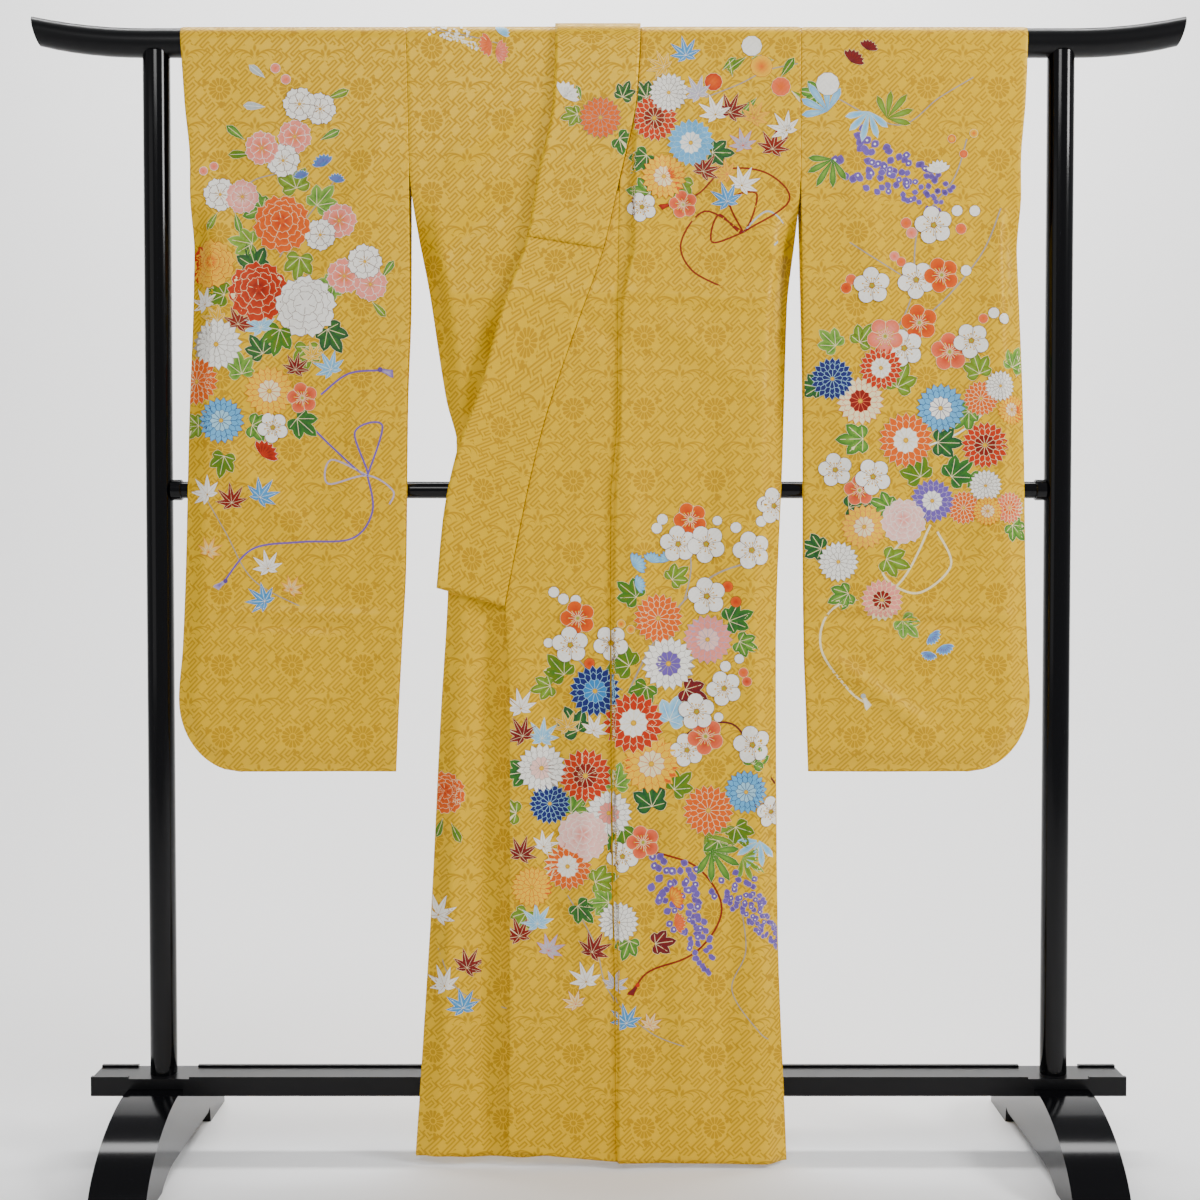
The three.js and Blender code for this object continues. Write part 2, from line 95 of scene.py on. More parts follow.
def table(names, rows):
    key = [row[0] for row in rows]
    return SimpleNamespace(**{
        name: reader(key, [row[i] for row in rows]) for i, name in enumerate(names.split())
    })


# How far each layer hangs from the stand's middle plane, and the outlines from the front.
hangs = table("level outer under back sleeveBack", [
    (1647, -22.7, -22.7, 22.7, 22.7),
    (1587, -28, -23, 20, 20),
    (1450, -33, -26, 13, 13),
    (1290, -37, -29, 1, 1),
    (1050, -41, -33, -15, -14),
    (992, -42, -34, -17, -15.6),
    (840, -44, -36, -20, -17),
    (540, -50, -42, -27, -18),
    (130, -60, -51, -38.5, -18),
    (6, -62, -53, -39.5, -18),
])
sleeveFront = table("level right left", [
    (1647, -22.7, -22.7),
    (1587, -23, -28),
    (1450, -26, -33),
    (1290, -28, -34),
    (992, -31, -34),
    (577, -31, -33),
])
armhole = table("level right left", [(ridge, -296, 281), (1558, -293, 279), (1464, -291, 279)])
leftFront = table("level side okumiSeam pleat", [
    (ridge, 281, 16, 40),
    (1558, 279, 16, 39),
    (1464, 279, 16, 38),
    (1355, 273, 14, 37),
    (1266, 263, 13, 22),
    (1194, 259, 13, 19),
    (1092, 255, 12, 18),
    (976, 252, 3, 11),
    (758, 245, 3, 9),
    (568, 246, 4, 10),
    (391, 248, 6, 14),
    (244, 250, 9, 16),
    (6, 262, 11, 15),
])
rightFront = table("level side", [
    (ridge, -296),
    (1558, -293),
    (1464, -291),
    (1370, -280),
    (1283, -264),
    (1123, -238),
    (1050, -221),
    (947, -233),
    (838, -236),
    (655, -247),
    (391, -260),
    (125, -276),
    (10, -284),
])
rightSeam = -12
okumiFree = table("level left right", [
    (821, -151, 135),
    (685, -145, 131),
    (244, -145, 130),
    (10, -147, 130),
])
backSide = table("level right left", [
    (ridge, -296, 281),
    (1464, -291, 279),
    (1283, -264, 264),
    (1050, -223, 256),
    (758, -238, 246),
    (391, -260, 248),
    (10, -284, 262),
])
sleeveEdges = table("level rightInner rightOuter leftInner leftOuter", [
    (ridge, -296, -626, 281, 612),
    (1558, -293, -618, 279, 606),
    (1464, -291, -610, 279, 599),
    (1268, -290, -611, 282, 604),
    (1123, -294, -615, 284, 608),
    (889, -297, -621, 285, 612),
    (757, -304, -627, 287, 616),
    (683, -308, -633, 290, 620),
    (577, -313, -633, 294, 620),
])
sleeveCut = SimpleNamespace(bottom=577, cornerWidth=90, cornerHeight=106, cuffEnd=1425, armholeEnd=1464)
leftStrip = table("way freeLevel freeX seamLevel seamX", [
    (9, ridge, -78, ridge, 47),
    (8, 1647, -78, 1647, 46),
    (7, 1558, -81, 1557, 40),
    (6, 1445, -104, 1444, 16),
    (5, 1359, -119, 1341, -8),
    (4, 1265, -152, 1224, -49),
    (3, 1137, -188, 1093, -93),
    (2, 1049, -220, 1006, -115),
    (1, 955, -240, 918, -133),
    (0, 848, -251, 821, -152),
])
rightStrip = table("way freeLevel freeX seamLevel seamX", [
    (9, ridge, 42, ridge, -61),
    (8, 1647, 42, 1647, -60),
    (7, 1558, 58, 1557, -56),
    (6, 1445, 88, 1444, -32),
    (5, 1359, 103, 1341, -8),
    (4, 1265, 134, 1224, 33),
    (3, 1137, 168, 1093, 77),
    (2, 1049, 190, 1006, 99),
    (1, 955, 205, 918, 117),
    (0, 848, 215, 821, 136),
])
neck = SimpleNamespace(middle=-7, half=54, low=62, high=50, seam=2.8)
backFolds = [
    (-212, 46, 7), (-128, 40, 9), (-52, 34, 6), (46, 38, 8), (128, 44, 9), (208, 42, 7),
]

# Creases laid, each from one place to another on the outer layer, with its width
# and its depth towards the front. A negative depth is a trough.
creases = {
    "outer": [
        (96, 1600, 150, 1480, 16, 1.6),
        (60, 1530, 120, 1380, 14, -1.5),
        (150, 1440, 250, 1330, 22, 1.8),
        (40, 1275, 250, 1262, 9, 2.2),
        (-40, 1240, 60, 1180, 16, -1.4),
        (80, 1240, 235, 1120, 20, 1.5),
        (30, 1000, 60, 640, 24, 2.2),
        (150, 1090, 120, 700, 26, -1.8),
        (200, 900, 225, 420, 22, 1.7),
        (-90, 760, -80, 300, 22, -2.4),
        (-40, 640, -20, 160, 18, 1.8),
        (90, 560, 110, 120, 26, 2.0),
        (180, 420, 170, 60, 22, -1.9),
    ],
    "under": [
        (-170, 1190, -196, 1040, 16, 4),
        (-150, 1420, -240, 1330, 20, -1.6),
        (-110, 1560, -230, 1470, 20, 1.5),
        (-172, 800, -172, 60, 24, -7),
        (-222, 640, -240, 150, 20, 2.6),
        (-198, 1080, -150, 1230, 26, -6),
        (-60, 1440, -60, 1330, 30, -2),
    ],
    "right": [
        (-600, 812, -330, 806, 10, 2.2),
        (-560, 796, -380, 790, 9, -1.6),
        (-330, 1500, -430, 1250, 30, 1.8),
        (-560, 1480, -480, 1150, 34, -1.7),
        (-600, 1080, -420, 900, 26, 1.8),
        (-330, 760, -470, 640, 20, -1.8),
        (-360, 1120, -400, 860, 26, 1.5),
    ],
    "left": [
        (300, 822, 590, 806, 10, 2.2),
        (330, 804, 560, 792, 9, -1.6),
        (300, 760, 470, 640, 16, 3.2),
        (330, 1540, 400, 1260, 30, 1.7),
        (560, 1440, 480, 1080, 34, -1.7),
        (330, 1180, 380, 900, 26, 1.6),
        (590, 1120, 540, 860, 22, 1.5),
    ],
}


creaseStrength = 2.5


def creasing(name, x, level):
    depth = 0
    for x0, level0, x1, level1, width, height in creases[name]:
        along = (x1 - x0, level1 - level0)
        length = along[0] ** 2 + along[1] ** 2
        t = ((x - x0) * along[0] + (level - level0) * along[1]) / length
        if -0.2 < t < 1.2:
            off = math.hypot(x - x0 - t * along[0], level - level0 - t * along[1]) / width
            if off < 2.5:
                depth -= creaseStrength * height * math.exp(-off * off * 1.6) * ease((t + 0.2) / 0.4) * ease((1.2 - t) / 0.4)
    wave = noise.noise(Vector((x / 62, level / 85, len(name) * 3.1)))
    return depth - 0.9 * wave


def backFold(x, level):
    fullness = ease((1500 - level) / 420)
    return -fullness * sum(
        depth * math.exp(-((x - at) / width) ** 2 * 2.2) for at, width, depth in backFolds
    )


def pleat(x, level):
    off = x - leftFront.pleat(level)
    edge = ease(1 + off / 3) if off < 0 else 1 - 0.85 * ease(off / 70)
    return -7 * edge * ease((1610 - level) / 150)


def tuck(level):
    return -1.6 * math.exp(-(((level - 1276) / 9) ** 2))


def nearSide(x, side, level):
    return 1 - ease((1425 - level) / 110) * (1 - ease(abs(x - side) / 34))


def backDepth(x, level):
    return hangs.back(level) + backFold(x, level)


def outerDepth(x, level):
    own = hangs.outer(level) + pleat(x, level) + tuck(level) + creasing("outer", x, level)
    return mix(backDepth(x, level) - meet, own, nearSide(x, leftFront.side(level), level))


def underDepth(x, level):
    own = hangs.under(level) + tuck(level) + creasing("under", x, level)
    return mix(backDepth(x, level) - meet, own, nearSide(x, rightFront.side(level), level))


# Where cloth lies, and its outward direction: a circle over the bar, then its own depth.
def lay(x, level, face, depth, radius=wrapPanel):
    turn = min((ridge - level) / wrapPanel, math.pi / 2)
    out = Vector((0, face * math.sin(turn), math.cos(turn)))
    if level < barZ:
        return Vector((x, depth(x, level), level)), out
    return Vector((x, radius * out.y, barZ + radius * out.z)), out


def hemRise(rise, level):
    return rise * ease(1 - level / 300)


def joined(hole, own, level):
    return hole(level) if level >= sleeveCut.armholeEnd else own(level)


def neckHalf(level):
    low = neck.low + neck.seam
    return neck.half * math.sqrt(clamp((low + level - ridge) / (low - neck.high - 1.5 * neck.seam)))


seams = {}


def seamAt(strip, level):
    key = (id(strip), round(level, 3))
    if key not in seams:
        low, high = 0, 9
        for _ in range(22):
            middle = (low + high) / 2
            if strip.seamLevel(middle) < level:
                low = middle
            else:
                high = middle
        seams[key] = strip.seamX(low)
    return seams[key]


# The edges of each panel at a level, from its left side to its right as seen from the front.
def edgesBodyLeft(level, face):
    outer = joined(armhole.left, leftFront.side if face == front else backSide.left, level) - gap / 2
    if face == back:
        return neck.middle + gap / 2 + neckHalf(level), outer
    return max(leftFront.okumiSeam(level) + gap / 2, seamAt(leftStrip, level) + 2 * gap), outer


def edgesBodyRight(level, face):
    side = joined(armhole.right, rightFront.side if face == front else backSide.right, level) + gap / 2
    if face == back:
        return side, neck.middle - gap / 2 - neckHalf(level)
    return side, min(rightSeam - gap / 2, seamAt(rightStrip, level) - 2 * gap)


def edgesOkumiLeft(level, face):
    free = seamAt(leftStrip, level) + 2 * gap if level > 821 else okumiFree.left(level)
    return free, leftFront.okumiSeam(level) - gap / 2


def edgesOkumiRight(level, face):
    free = seamAt(rightStrip, level) - 2 * gap if level > 821 else okumiFree.right(level)
    return rightSeam + gap / 2, free


def rounding(t):
    return 1 - math.sqrt(1 - clamp(t) ** 2)


def sleeveOuter(sign, level):
    edge = sleeveEdges.leftOuter if sign > 0 else sleeveEdges.rightOuter
    corner = sleeveCut.cornerWidth * rounding(
        (sleeveCut.bottom + sleeveCut.cornerHeight - level) / sleeveCut.cornerHeight
    )
    return edge(level) - sign * corner


def edgesSleeveLeft(level, face):
    return joined(armhole.left, sleeveEdges.leftInner, level) + gap / 2, sleeveOuter(1, level)


def edgesSleeveRight(level, face):
    return sleeveOuter(-1, level), joined(armhole.right, sleeveEdges.rightInner, level) - gap / 2


def sleeveFold(x, level, sign):
    across = (abs(x) - 455) / 165
    fullness = ease((1560 - level) / 500)
    return -fullness * (1.6 + 1.6 * math.cos(across * 4.2 + sign * level / 420))


def sleeveBehind(sign):
    return lambda x, level: hangs.sleeveBack(level) + sleeveFold(x, level, sign)


def sleeveBefore(sign):
    name = "left" if sign > 0 else "right"
    hang = sleeveFront.left if sign > 0 else sleeveFront.right
    edge = sleeveEdges.leftOuter if sign > 0 else sleeveEdges.rightOuter
    behind = sleeveBehind(sign)

    def depth(x, level):
        straight = abs(edge(sleeveCut.bottom)) - sleeveCut.cornerWidth
        bottomAt = sleeveCut.bottom + sleeveCut.cornerHeight * rounding((abs(x) - straight) / sleeveCut.cornerWidth)
        closed = ease((sleeveCut.cuffEnd - level) / 90)
        fromSide = 1 - closed * (1 - ease(abs(x - sleeveOuter(sign, level)) / 34))
        own = hang(level) + sleeveFold(x, level, sign) + creasing(name, x, level)
        return mix(behind(x, level) - meet, own, fromSide * ease((level - bottomAt) / 40))

    return depth


# Each panel that is laid by levels: its edges, its depth on each face, its hem's rise at
# each side, where it starts and ends, and the crease set that it shares.
panels = {
    "body_left": dict(
        edges=edgesBodyLeft, depth={front: outerDepth, back: backDepth}, rise=(4, 0),
        start=6, end=12, top=None, columns=52, rows=400, cut=(0.30, 3.36),
    ),
    "body_right": dict(
        edges=edgesBodyRight, depth={front: underDepth, back: backDepth}, rise=(8, 14),
        start=6, end=12, top=None, columns=48, rows=400, cut=(0.29, 3.36),
    ),
    "okumi_left": dict(
        edges=edgesOkumiLeft, depth={front: outerDepth}, rise=(18, 4),
        start=6, end=None, top=1425, columns=30, rows=190, cut=(0.165, 1.42), area=0.17,
    ),
    "okumi_right": dict(
        edges=edgesOkumiRight, depth={front: underDepth}, rise=(12, 18),
        start=6, end=None, top=1340, columns=20, rows=150, cut=(0.165, 1.34), area=0.155,
    ),
    "sleeve_left": dict(
        edges=edgesSleeveLeft, depth={front: sleeveBefore(1), back: sleeveBehind(1)}, rise=(0, 0),
        start=577, end=577, top=None, columns=52, rows=290, cut=(0.335, 2.21),
    ),
    "sleeve_right": dict(
        edges=edgesSleeveRight, depth={front: sleeveBefore(-1), back: sleeveBehind(-1)}, rise=(0, 0),
        start=577, end=577, top=None, columns=52, rows=290, cut=(0.335, 2.21),
    ),
}


def panelPoint(panel, x, level, face, lift=0):
    low, high = panel["edges"](level, face)
    u = clamp((x - low) / (high - low))
    risen = level + hemRise(mix(*panel["rise"], u), level) if face == front else level
    at, out = lay(x, risen, face, panel["depth"][face])
    return (at + out * lift) * metre


# The socket-wrapping class for materials.
class Wire:
    def __init__(self, tree, socket=None):
        self.tree = tree
        self.socket = socket

    def node(self, kind, settings=None, inputs=None, output=0):
        made = self.tree.nodes.new(kind)
        for name, value in (settings or {}).items():
            setattr(made, name, value)
        for name, value in (inputs or {}).items():
            if isinstance(value, Wire):
                self.tree.links.new(value.socket, made.inputs[name])
            else:
                made.inputs[name].default_value = value
        return Wire(self.tree, made.outputs[output])

    def maths(self, operation, first, second=0.0):
        return self.node("ShaderNodeMath", {"operation": operation}, {0: first, 1: second})

    def other(self, output):
        return Wire(self.tree, self.socket.node.outputs[output])

    def __add__(self, other):
        return self.maths("ADD", self, other)

    __radd__ = __add__

    def __mul__(self, other):
        return self.maths("MULTIPLY", self, other)

    __rmul__ = __mul__

    def __sub__(self, other):
        return self.maths("SUBTRACT", self, other)

    def __rsub__(self, other):
        return self.maths("SUBTRACT", other, self)

    def __truediv__(self, other):
        return self.maths("DIVIDE", self, other)

    def __rtruediv__(self, other):
        return self.maths("DIVIDE", other, self)

    def of(self, operation, other=0.0):
        return self.maths(operation, self, other)


def newMaterial(name):
    material = bpy.data.materials.new(name)
    material.use_nodes = True
    tree = material.node_tree
    shader = tree.nodes["Principled BSDF"]
    return material, Wire(tree), shader


def feed(start, shader, values):
    for name, value in values.items():
        if isinstance(value, Wire):
            start.tree.links.new(value.socket, shader.inputs[name])
        else:
            shader.inputs[name].default_value = value


# How far a spot is from one bar of the fret, in the fret's units.
def fromBar(p, q, atP, atQ, halfP, halfQ):
    return ((p - atP).of("ABSOLUTE") - halfP).of("MAXIMUM", (q - atQ).of("ABSOLUTE") - halfQ)


def limited(value):
    return value.of("MINIMUM", 1.0).of("MAXIMUM", 0.0)


# The woven damask: an interlocking key fret at 45 degrees, broken by rosettes and by
# orchids with arching leaves. 1 is pattern and 0 is ground.
def damask(start):
    place = start.node("ShaderNodeUVMap", {"uv_map": "cloth"})
    parts = start.node("ShaderNodeSeparateXYZ", {}, {0: place})
    u, v = parts * 1000, parts.other(1) * 1000
    unit, rowHeight, rowLength = 3.4, 6, 10
    p, q = (u + v) * (0.7071 / unit), (v - u) * (0.7071 / unit)
    row = (q / rowHeight).of("FLOOR")
    q = q - row * rowHeight - rowHeight / 2
    p = p + row * (rowLength / 2)
    p = p - (p / rowLength).of("FLOOR") * rowLength - rowLength / 2
    side = q.of("SIGN")
    p, q = p * side, q * side
    away = fromBar(p, q, 0, 0, 4, 0).of("MINIMUM", fromBar(p, q, 4, 1.5, 0, 1.5))
    away = away.of("MINIMUM", fromBar(p, q, 2.5, 3, 2, 0))
    lines = limited(1.75 - (away - 0.78).of("ABSOLUTE") * 3.6)

    stepU, stepV = 103, 105
    a, b = ((u / stepU).of("FRACT") - 0.5) * stepU, ((v / stepV).of("FRACT") - 0.5) * stepV
    far = (a * a + b * b).of("SQRT")
    lobes = (b.of("ARCTAN2", a) * 7).of("COSINE").of("ABSOLUTE")
    petals = limited(14.5 + lobes * 2.5 - far) * limited(lobes * 3.2 - 0.55) * limited(far - 5)
    rosette = petals.of("MAXIMUM", limited(4.2 - far))
    for atA, atB in ((20, 12), (-21, 9), (4, -23)):
        da, db = a - atA, b - atB
        near = (da * da + db * db).of("SQRT")
        lobe = (db.of("ARCTAN2", da) * 1.5).of("COSINE").of("ABSOLUTE")
        rosette = rosette.of("MAXIMUM", limited(2.2 + lobe * 4.2 - near))

    a, b = ((u / stepU + 0.5).of("FRACT") - 0.5) * stepU, ((v / stepV + 0.5).of("FRACT") - 0.5) * stepV
    a, b = a.of("ABSOLUTE") * 1.2, b * 1.2
    orchid = limited(1.2 - (a * a * 0.09 + (b - 8) * (b - 8) * 0.022))
    orchid = orchid.of("MAXIMUM", limited(1.4 - ((a - b * 0.3 - 5) * (a - b * 0.3 - 5) * 0.12 + b * b * 0.03)))
    for atA, atB, radius, low in ((14, -12, 12, -13), (21, -14, 17, -12), (27, -24, 29, -12), (10, -13, 6, -16)):
        da, db = a - atA, b - atB
        ring = ((da * da + db * db).of("SQRT") - radius).of("ABSOLUTE")
        taper = limited((b - low) * 0.09)
        orchid = orchid.of("MAXIMUM", limited(taper * 1.7 - ring) * limited(b - low))
    clearOrchid = limited((1 - (a * a * (1 / 36 ** 2) + b * b * (1 / 15 ** 2))) * 6)
    clear = limited(20 - far).of("MAXIMUM", clearOrchid)
    return limited(lines * (1 - clear) + rosette + orchid)


def silkMaterial(name, dyed):
    material, start, shader = newMaterial(name)
    weave = damask(start)
    if dyed:
        base = start.node("ShaderNodeVertexColor", {"layer_name": "dye"})
        colour = start.node(
            "ShaderNodeMix", {"data_type": "RGBA", "blend_type": "MULTIPLY"},
            {0: weave * 0.14, 6: base, 7: (0.6, 0.58, 0.5, 1)}, 2,
        )
    else:
        colour = start.node(
            "ShaderNodeMix", {"data_type": "RGBA"},
            {0: weave, 6: (0.76, 0.455, 0.002, 1), 7: (0.51, 0.265, 0.0, 1)}, 2,
        )
    bump = start.node("ShaderNodeBump", {}, {"Strength": 0.3, "Distance": 0.0004, "Height": weave})
    feed(start, shader, {
        "Base Color": colour,
        "Roughness": (0.4 if dyed else 0.34) + weave * 0.16,
        "Specular IOR Level": 0.35,
        "Specular Tint": (1, 0.82, 0.35, 1),
        "Normal": bump,
    })
    return material


def plainMaterial(name, colour, roughness, specular=0.5):
    material, start, shader = newMaterial(name)
    feed(start, shader, {
        "Base Color": (*colour, 1), "Roughness": roughness, "Specular IOR Level": specular,
    })
    return material


silk = silkMaterial("silk", False)
dyedSilk = silkMaterial("dyed silk", True)
gloss = plainMaterial("gloss lacquer", (0.0015, 0.0015, 0.002), 0.12, 0.22)
satin = plainMaterial("satin lacquer", (0.003, 0.003, 0.0035), 0.3, 0.2)
print("materials made")


def finished(name, mesh, material):
    piece = bpy.data.objects.new(name, mesh)
    bpy.context.scene.collection.objects.link(piece)
    mesh.materials.append(material)
    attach(piece, "root")
    return piece


# A sheet from a grid of stations: place(i, j) gives a point and its flat place, in metres.
def clothGrid(name, columns, rows, place, thickness=0.0012):
    build = bmesh.new()
    bmesh.ops.create_grid(build, x_segments=columns, y_segments=rows, size=0.5)
    uv = build.loops.layers.uv.new("cloth")
    flat = {}
    for vertex in build.verts:
        i = round((vertex.co.x + 0.5) * columns)
        j = round((vertex.co.y + 0.5) * rows)
        vertex.co, flat[vertex] = place(i / columns, j / rows)
    for face in build.faces:
        face.smooth = True
        for loop in face.loops:
            loop[uv].uv = flat[loop.vert]
    mesh = bpy.data.meshes.new(name)
    build.to_mesh(mesh)
    build.free()
    piece = finished(name, mesh, silk)
    solid = piece.modifiers.new("thickness", "SOLIDIFY")
    solid.thickness = thickness
    solid.offset = 0
    return piece


def clustered(u, amount):
    return u - amount * math.sin(2 * math.pi * u) / (2 * math.pi)


def levelPanel(panel):
    up = (panel["top"] or ridge) - panel["start"]
    down = 0 if panel["end"] is None else ridge - panel["end"]

    # Bodies have close rows along the neckline's curve, and the others at their ends.
    def place(u, v):
        s = clustered(v, 0.55) * (up + down)
        if panel["rise"] != (0, 0) and down:
            curve = ((0, 0), (0.48, up + 36), (0.56, up + 70), (1, up + down))
            s = next(mix(s0, s1, (v - v0) / (v1 - v0))
                     for (v0, s0), (v1, s1) in zip(curve, curve[1:]) if v <= v1)
        face = front if s <= up else back
        level = panel["start"] + s if face == front else ridge - (s - up)
        low, high = panel["edges"](level, face)
        share = clustered(u, 0.7)
        x = mix(low, high, share)
        dip = 0.9 * (1 - ease(min(x - low, high - x) / 5))
        return panelPoint(panel, x, level, face, -dip), (x * metre, s * metre)

    return place


pieces = {name: clothGrid(name + "_cloth", panel["columns"], panel["rows"], levelPanel(panel))
          for name, panel in panels.items()}
print("panels made")


# The collar: up the left front, over the bar, folded under itself and down the right.
def liftAt(way):
    return 0.8 + 1.7 * ease(way - 7)


def collarDepth(u, way, out):
    lift = 5 * (1 - ease(u / 0.55)) * ease(way / 1.2) * ease((5.2 - way) / 2)
    return lambda x, level: outerDepth(x, level) - liftAt(way) - lift - out


def leftStripPoint(way, u, out):
    x = mix(leftStrip.freeX(way), leftStrip.seamX(way), u)
    level = mix(leftStrip.freeLevel(way), leftStrip.seamLevel(way), u)
    return lay(x, level, front, collarDepth(u, way, out), wrapCollar + out)[0]


def rightStripPoint(way, u):
    x = mix(rightStrip.seamX(way), rightStrip.freeX(way), u)
    level = mix(rightStrip.seamLevel(way), rightStrip.freeLevel(way), u)
    return lay(x, level, front, underDepth)[0]


def neckPoint(t, x, radius, further=0):
    off = (x - neck.middle) / neck.half
    reach = neck.low - (neck.low - neck.high) * min(1, off * off)
    return lay(x, ridge - t * reach - further, back, lambda atX, level: radius, radius)


def outerNeckX(t, u):
    return mix(mix(leftStrip.freeX(9), -61, t), 47, u)


def innerNeckX(t, u):
    return mix(mix(rightStrip.seamX(9), rightStrip.freeX(9), u), outerNeckX(1, u), t)


def foldPoint(angle, u):
    middle, radius = (wrapCollar + wrapPanel) / 2, (wrapCollar - wrapPanel) / 2
    return neckPoint(1, outerNeckX(1, u), middle + radius * math.cos(angle), radius * math.sin(angle))[0]


lengths = SimpleNamespace(strip=900, neck=62, fold=8)
whole = 2 * lengths.strip + 2 * lengths.neck + lengths.fold


def collarPlace(u, v):
    s = v * whole
    if s <= lengths.strip:
        at = leftStripPoint(9 * s / lengths.strip, u, 0)
    elif s <= lengths.strip + lengths.neck:
        t = (s - lengths.strip) / lengths.neck
        at = neckPoint(t, outerNeckX(t, u), wrapCollar)[0]
    elif s <= lengths.strip + lengths.neck + lengths.fold:
        at = foldPoint(math.pi * (s - lengths.strip - lengths.neck) / lengths.fold, u)
    elif s <= whole - lengths.strip:
        t = (whole - lengths.strip - s) / lengths.neck
        at = neckPoint(t, innerNeckX(t, u), wrapPanel)[0]
    else:
        at = rightStripPoint(9 * (whole - s) / lengths.strip, u)
    return at * metre, (u * 0.115, s * metre)


overCollarOut = 2.1


def overCollarPlace(u, v):
    out = overCollarOut
    upTo = 380
    s = v * (upTo + lengths.neck * 0.875)
    if s <= upTo:
        at = leftStripPoint(mix(5, 9, s / upTo), u, out)
    else:
        t = (s - upTo) / lengths.neck
        at = neckPoint(t, outerNeckX(t, u), wrapCollar + out)[0]
    return at * metre, (u * 0.12, s * metre + 0.5)


pieces["collar"] = clothGrid("collar_cloth", 20, 240, collarPlace, 0.0016)
pieces["over_collar"] = clothGrid("over_collar_cloth", 20, 90, overCollarPlace, 0.0014)
print("collar made")
for name, piece in pieces.items():
    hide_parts(name)

# Dyed motifs, each a thin film over its panel. Colours are linear.
dyes = {
    "white": (0.88, 0.86, 0.80), "cream": (0.86, 0.74, 0.42), "orange": (0.74, 0.10, 0.004),
    "red": (0.52, 0.022, 0.006), "crimson": (0.22, 0.003, 0.008), "coral": (0.80, 0.14, 0.06),
    "pink": (0.84, 0.26, 0.21), "blush": (0.88, 0.55, 0.48), "navy": (0.004, 0.012, 0.14),
    "blue": (0.02, 0.20, 0.50), "sky": (0.11, 0.40, 0.70), "ice": (0.32, 0.60, 0.76),
    "purple": (0.10, 0.05, 0.26), "violet": (0.14, 0.08, 0.40), "lilac": (0.46, 0.38, 0.52),
    "yellow": (0.90, 0.50, 0.012), "gold": (0.55, 0.29, 0.01), "green": (0.03, 0.17, 0.02),
    "dark": (0.003, 0.065, 0.03), "olive": (0.13, 0.20, 0.006), "light": (0.20, 0.38, 0.05),
    "mist": (0.44, 0.50, 0.50), "brown": (0.14, 0.05, 0.02), "grey": (0.36, 0.31, 0.26),
    "wine": (0.12, 0.003, 0.02),
}
layerStep = 0.05
firstLayer = 0.78


class Film:
    def __init__(self, panel, side):
        self.panel = panel
        self.side = side
        self.build = bmesh.new()
        self.tint = self.build.verts.layers.float_color.new("dye")
        self.layer = 0

    # A closed outline about its middle, with a ring between them. inner and outer are dyes.
    def shape(self, outline, inner, outer, middle=None, between=0.6):
        count = len(outline)
        if middle is None:
            middle = (sum(x for x, _ in outline) / count, sum(y for _, y in outline) / count)
        low, high = self.panel["edges"](min(middle[1], ridge), self.side)
        xs = [x for x, _ in outline]
        if max(xs) < low + 3 or min(xs) > high - 3:
            return
        inner, outer = dyes[inner], dyes[outer]
        ring = [(mix(middle[0], x, between), mix(middle[1], y, between)) for x, y in outline]
        made = []
        for spots, share in (([middle], 0), (ring, between), (outline, 1)):
            verts = []
            for x, level in spots:
                level = min(level, ridge - 1)
                left, right = self.panel["edges"](level, self.side)
                vertex = self.build.verts.new((min(right - 1, max(left + 1, x)), level, self.layer))
                vertex[self.tint] = (*(mix(a, b, share) for a, b in zip(inner, outer)), 1)
                verts.append(vertex)
            made.append(verts)
        for k in range(count):
            n = (k + 1) % count
            self.build.faces.new((made[0][0], made[1][k], made[1][n]))
            self.build.faces.new((made[1][k], made[2][k], made[2][n], made[1][n]))

    # Long edges are cut where the cloth bends, then every vertex is laid on the panel.
    def finish(self, name):
        build, panel = self.build, self.panel
        for _ in range(3):
            long = []
            for edge in build.edges:
                x, level, _ = (edge.verts[0].co + edge.verts[1].co) / 2
                bends = self.side == front and abs(x - leftFront.pleat(level)) < 12
                if edge.calc_length() > (2.4 if bends else 12):
                    long.append(edge)
            bmesh.ops.subdivide_edges(build, edges=long, cuts=1)
        bmesh.ops.triangulate(build, faces=[face for face in build.faces if len(face.verts) > 4])
        bmesh.ops.dissolve_degenerate(build, edges=build.edges, dist=0.02)
        uv = build.loops.layers.uv.new("cloth")
        for face in build.faces:
            face.smooth = True
            for loop in face.loops:
                spot = loop.vert.co
                s = spot.y if self.side == front else 2 * ridge - spot.y
                loop[uv].uv = (spot.x * metre, (s - panel["start"]) * metre)
        for vertex in build.verts:
            x, level, layer = vertex.co
            vertex.co = panelPoint(panel, x, level, self.side, firstLayer + layerStep * layer)
        build.normal_update()
        for face in build.faces:
            if face.normal.y * self.side < 0:
                face.normal_flip()
        mesh = bpy.data.meshes.new(name)
        build.to_mesh(mesh)
        build.free()
        return finished(name, mesh, dyedSilk)


# Points drawn from a foot towards +Y, turned by an angle and moved to a place.
def turned(points, at, angle):
    c, s = math.cos(angle), math.sin(angle)
    return [(at[0] + x * c - y * s, at[1] + x * s + y * c) for x, y in points]


def blade(length, width, shares):
    side = [(share * width / 2, length * k / (len(shares) - 1)) for k, share in enumerate(shares)]
    return side + [(-x, y) for x, y in reversed(side[1:-1])]


def pointed(length, width):
    return blade(length, width, (0, 0.42, 0.75, 0.97, 0.9, 0))


def rounded(length, width):
    return blade(length, width, (0, 0.5, 0.85, 1, 0.96, 0.66, 0))


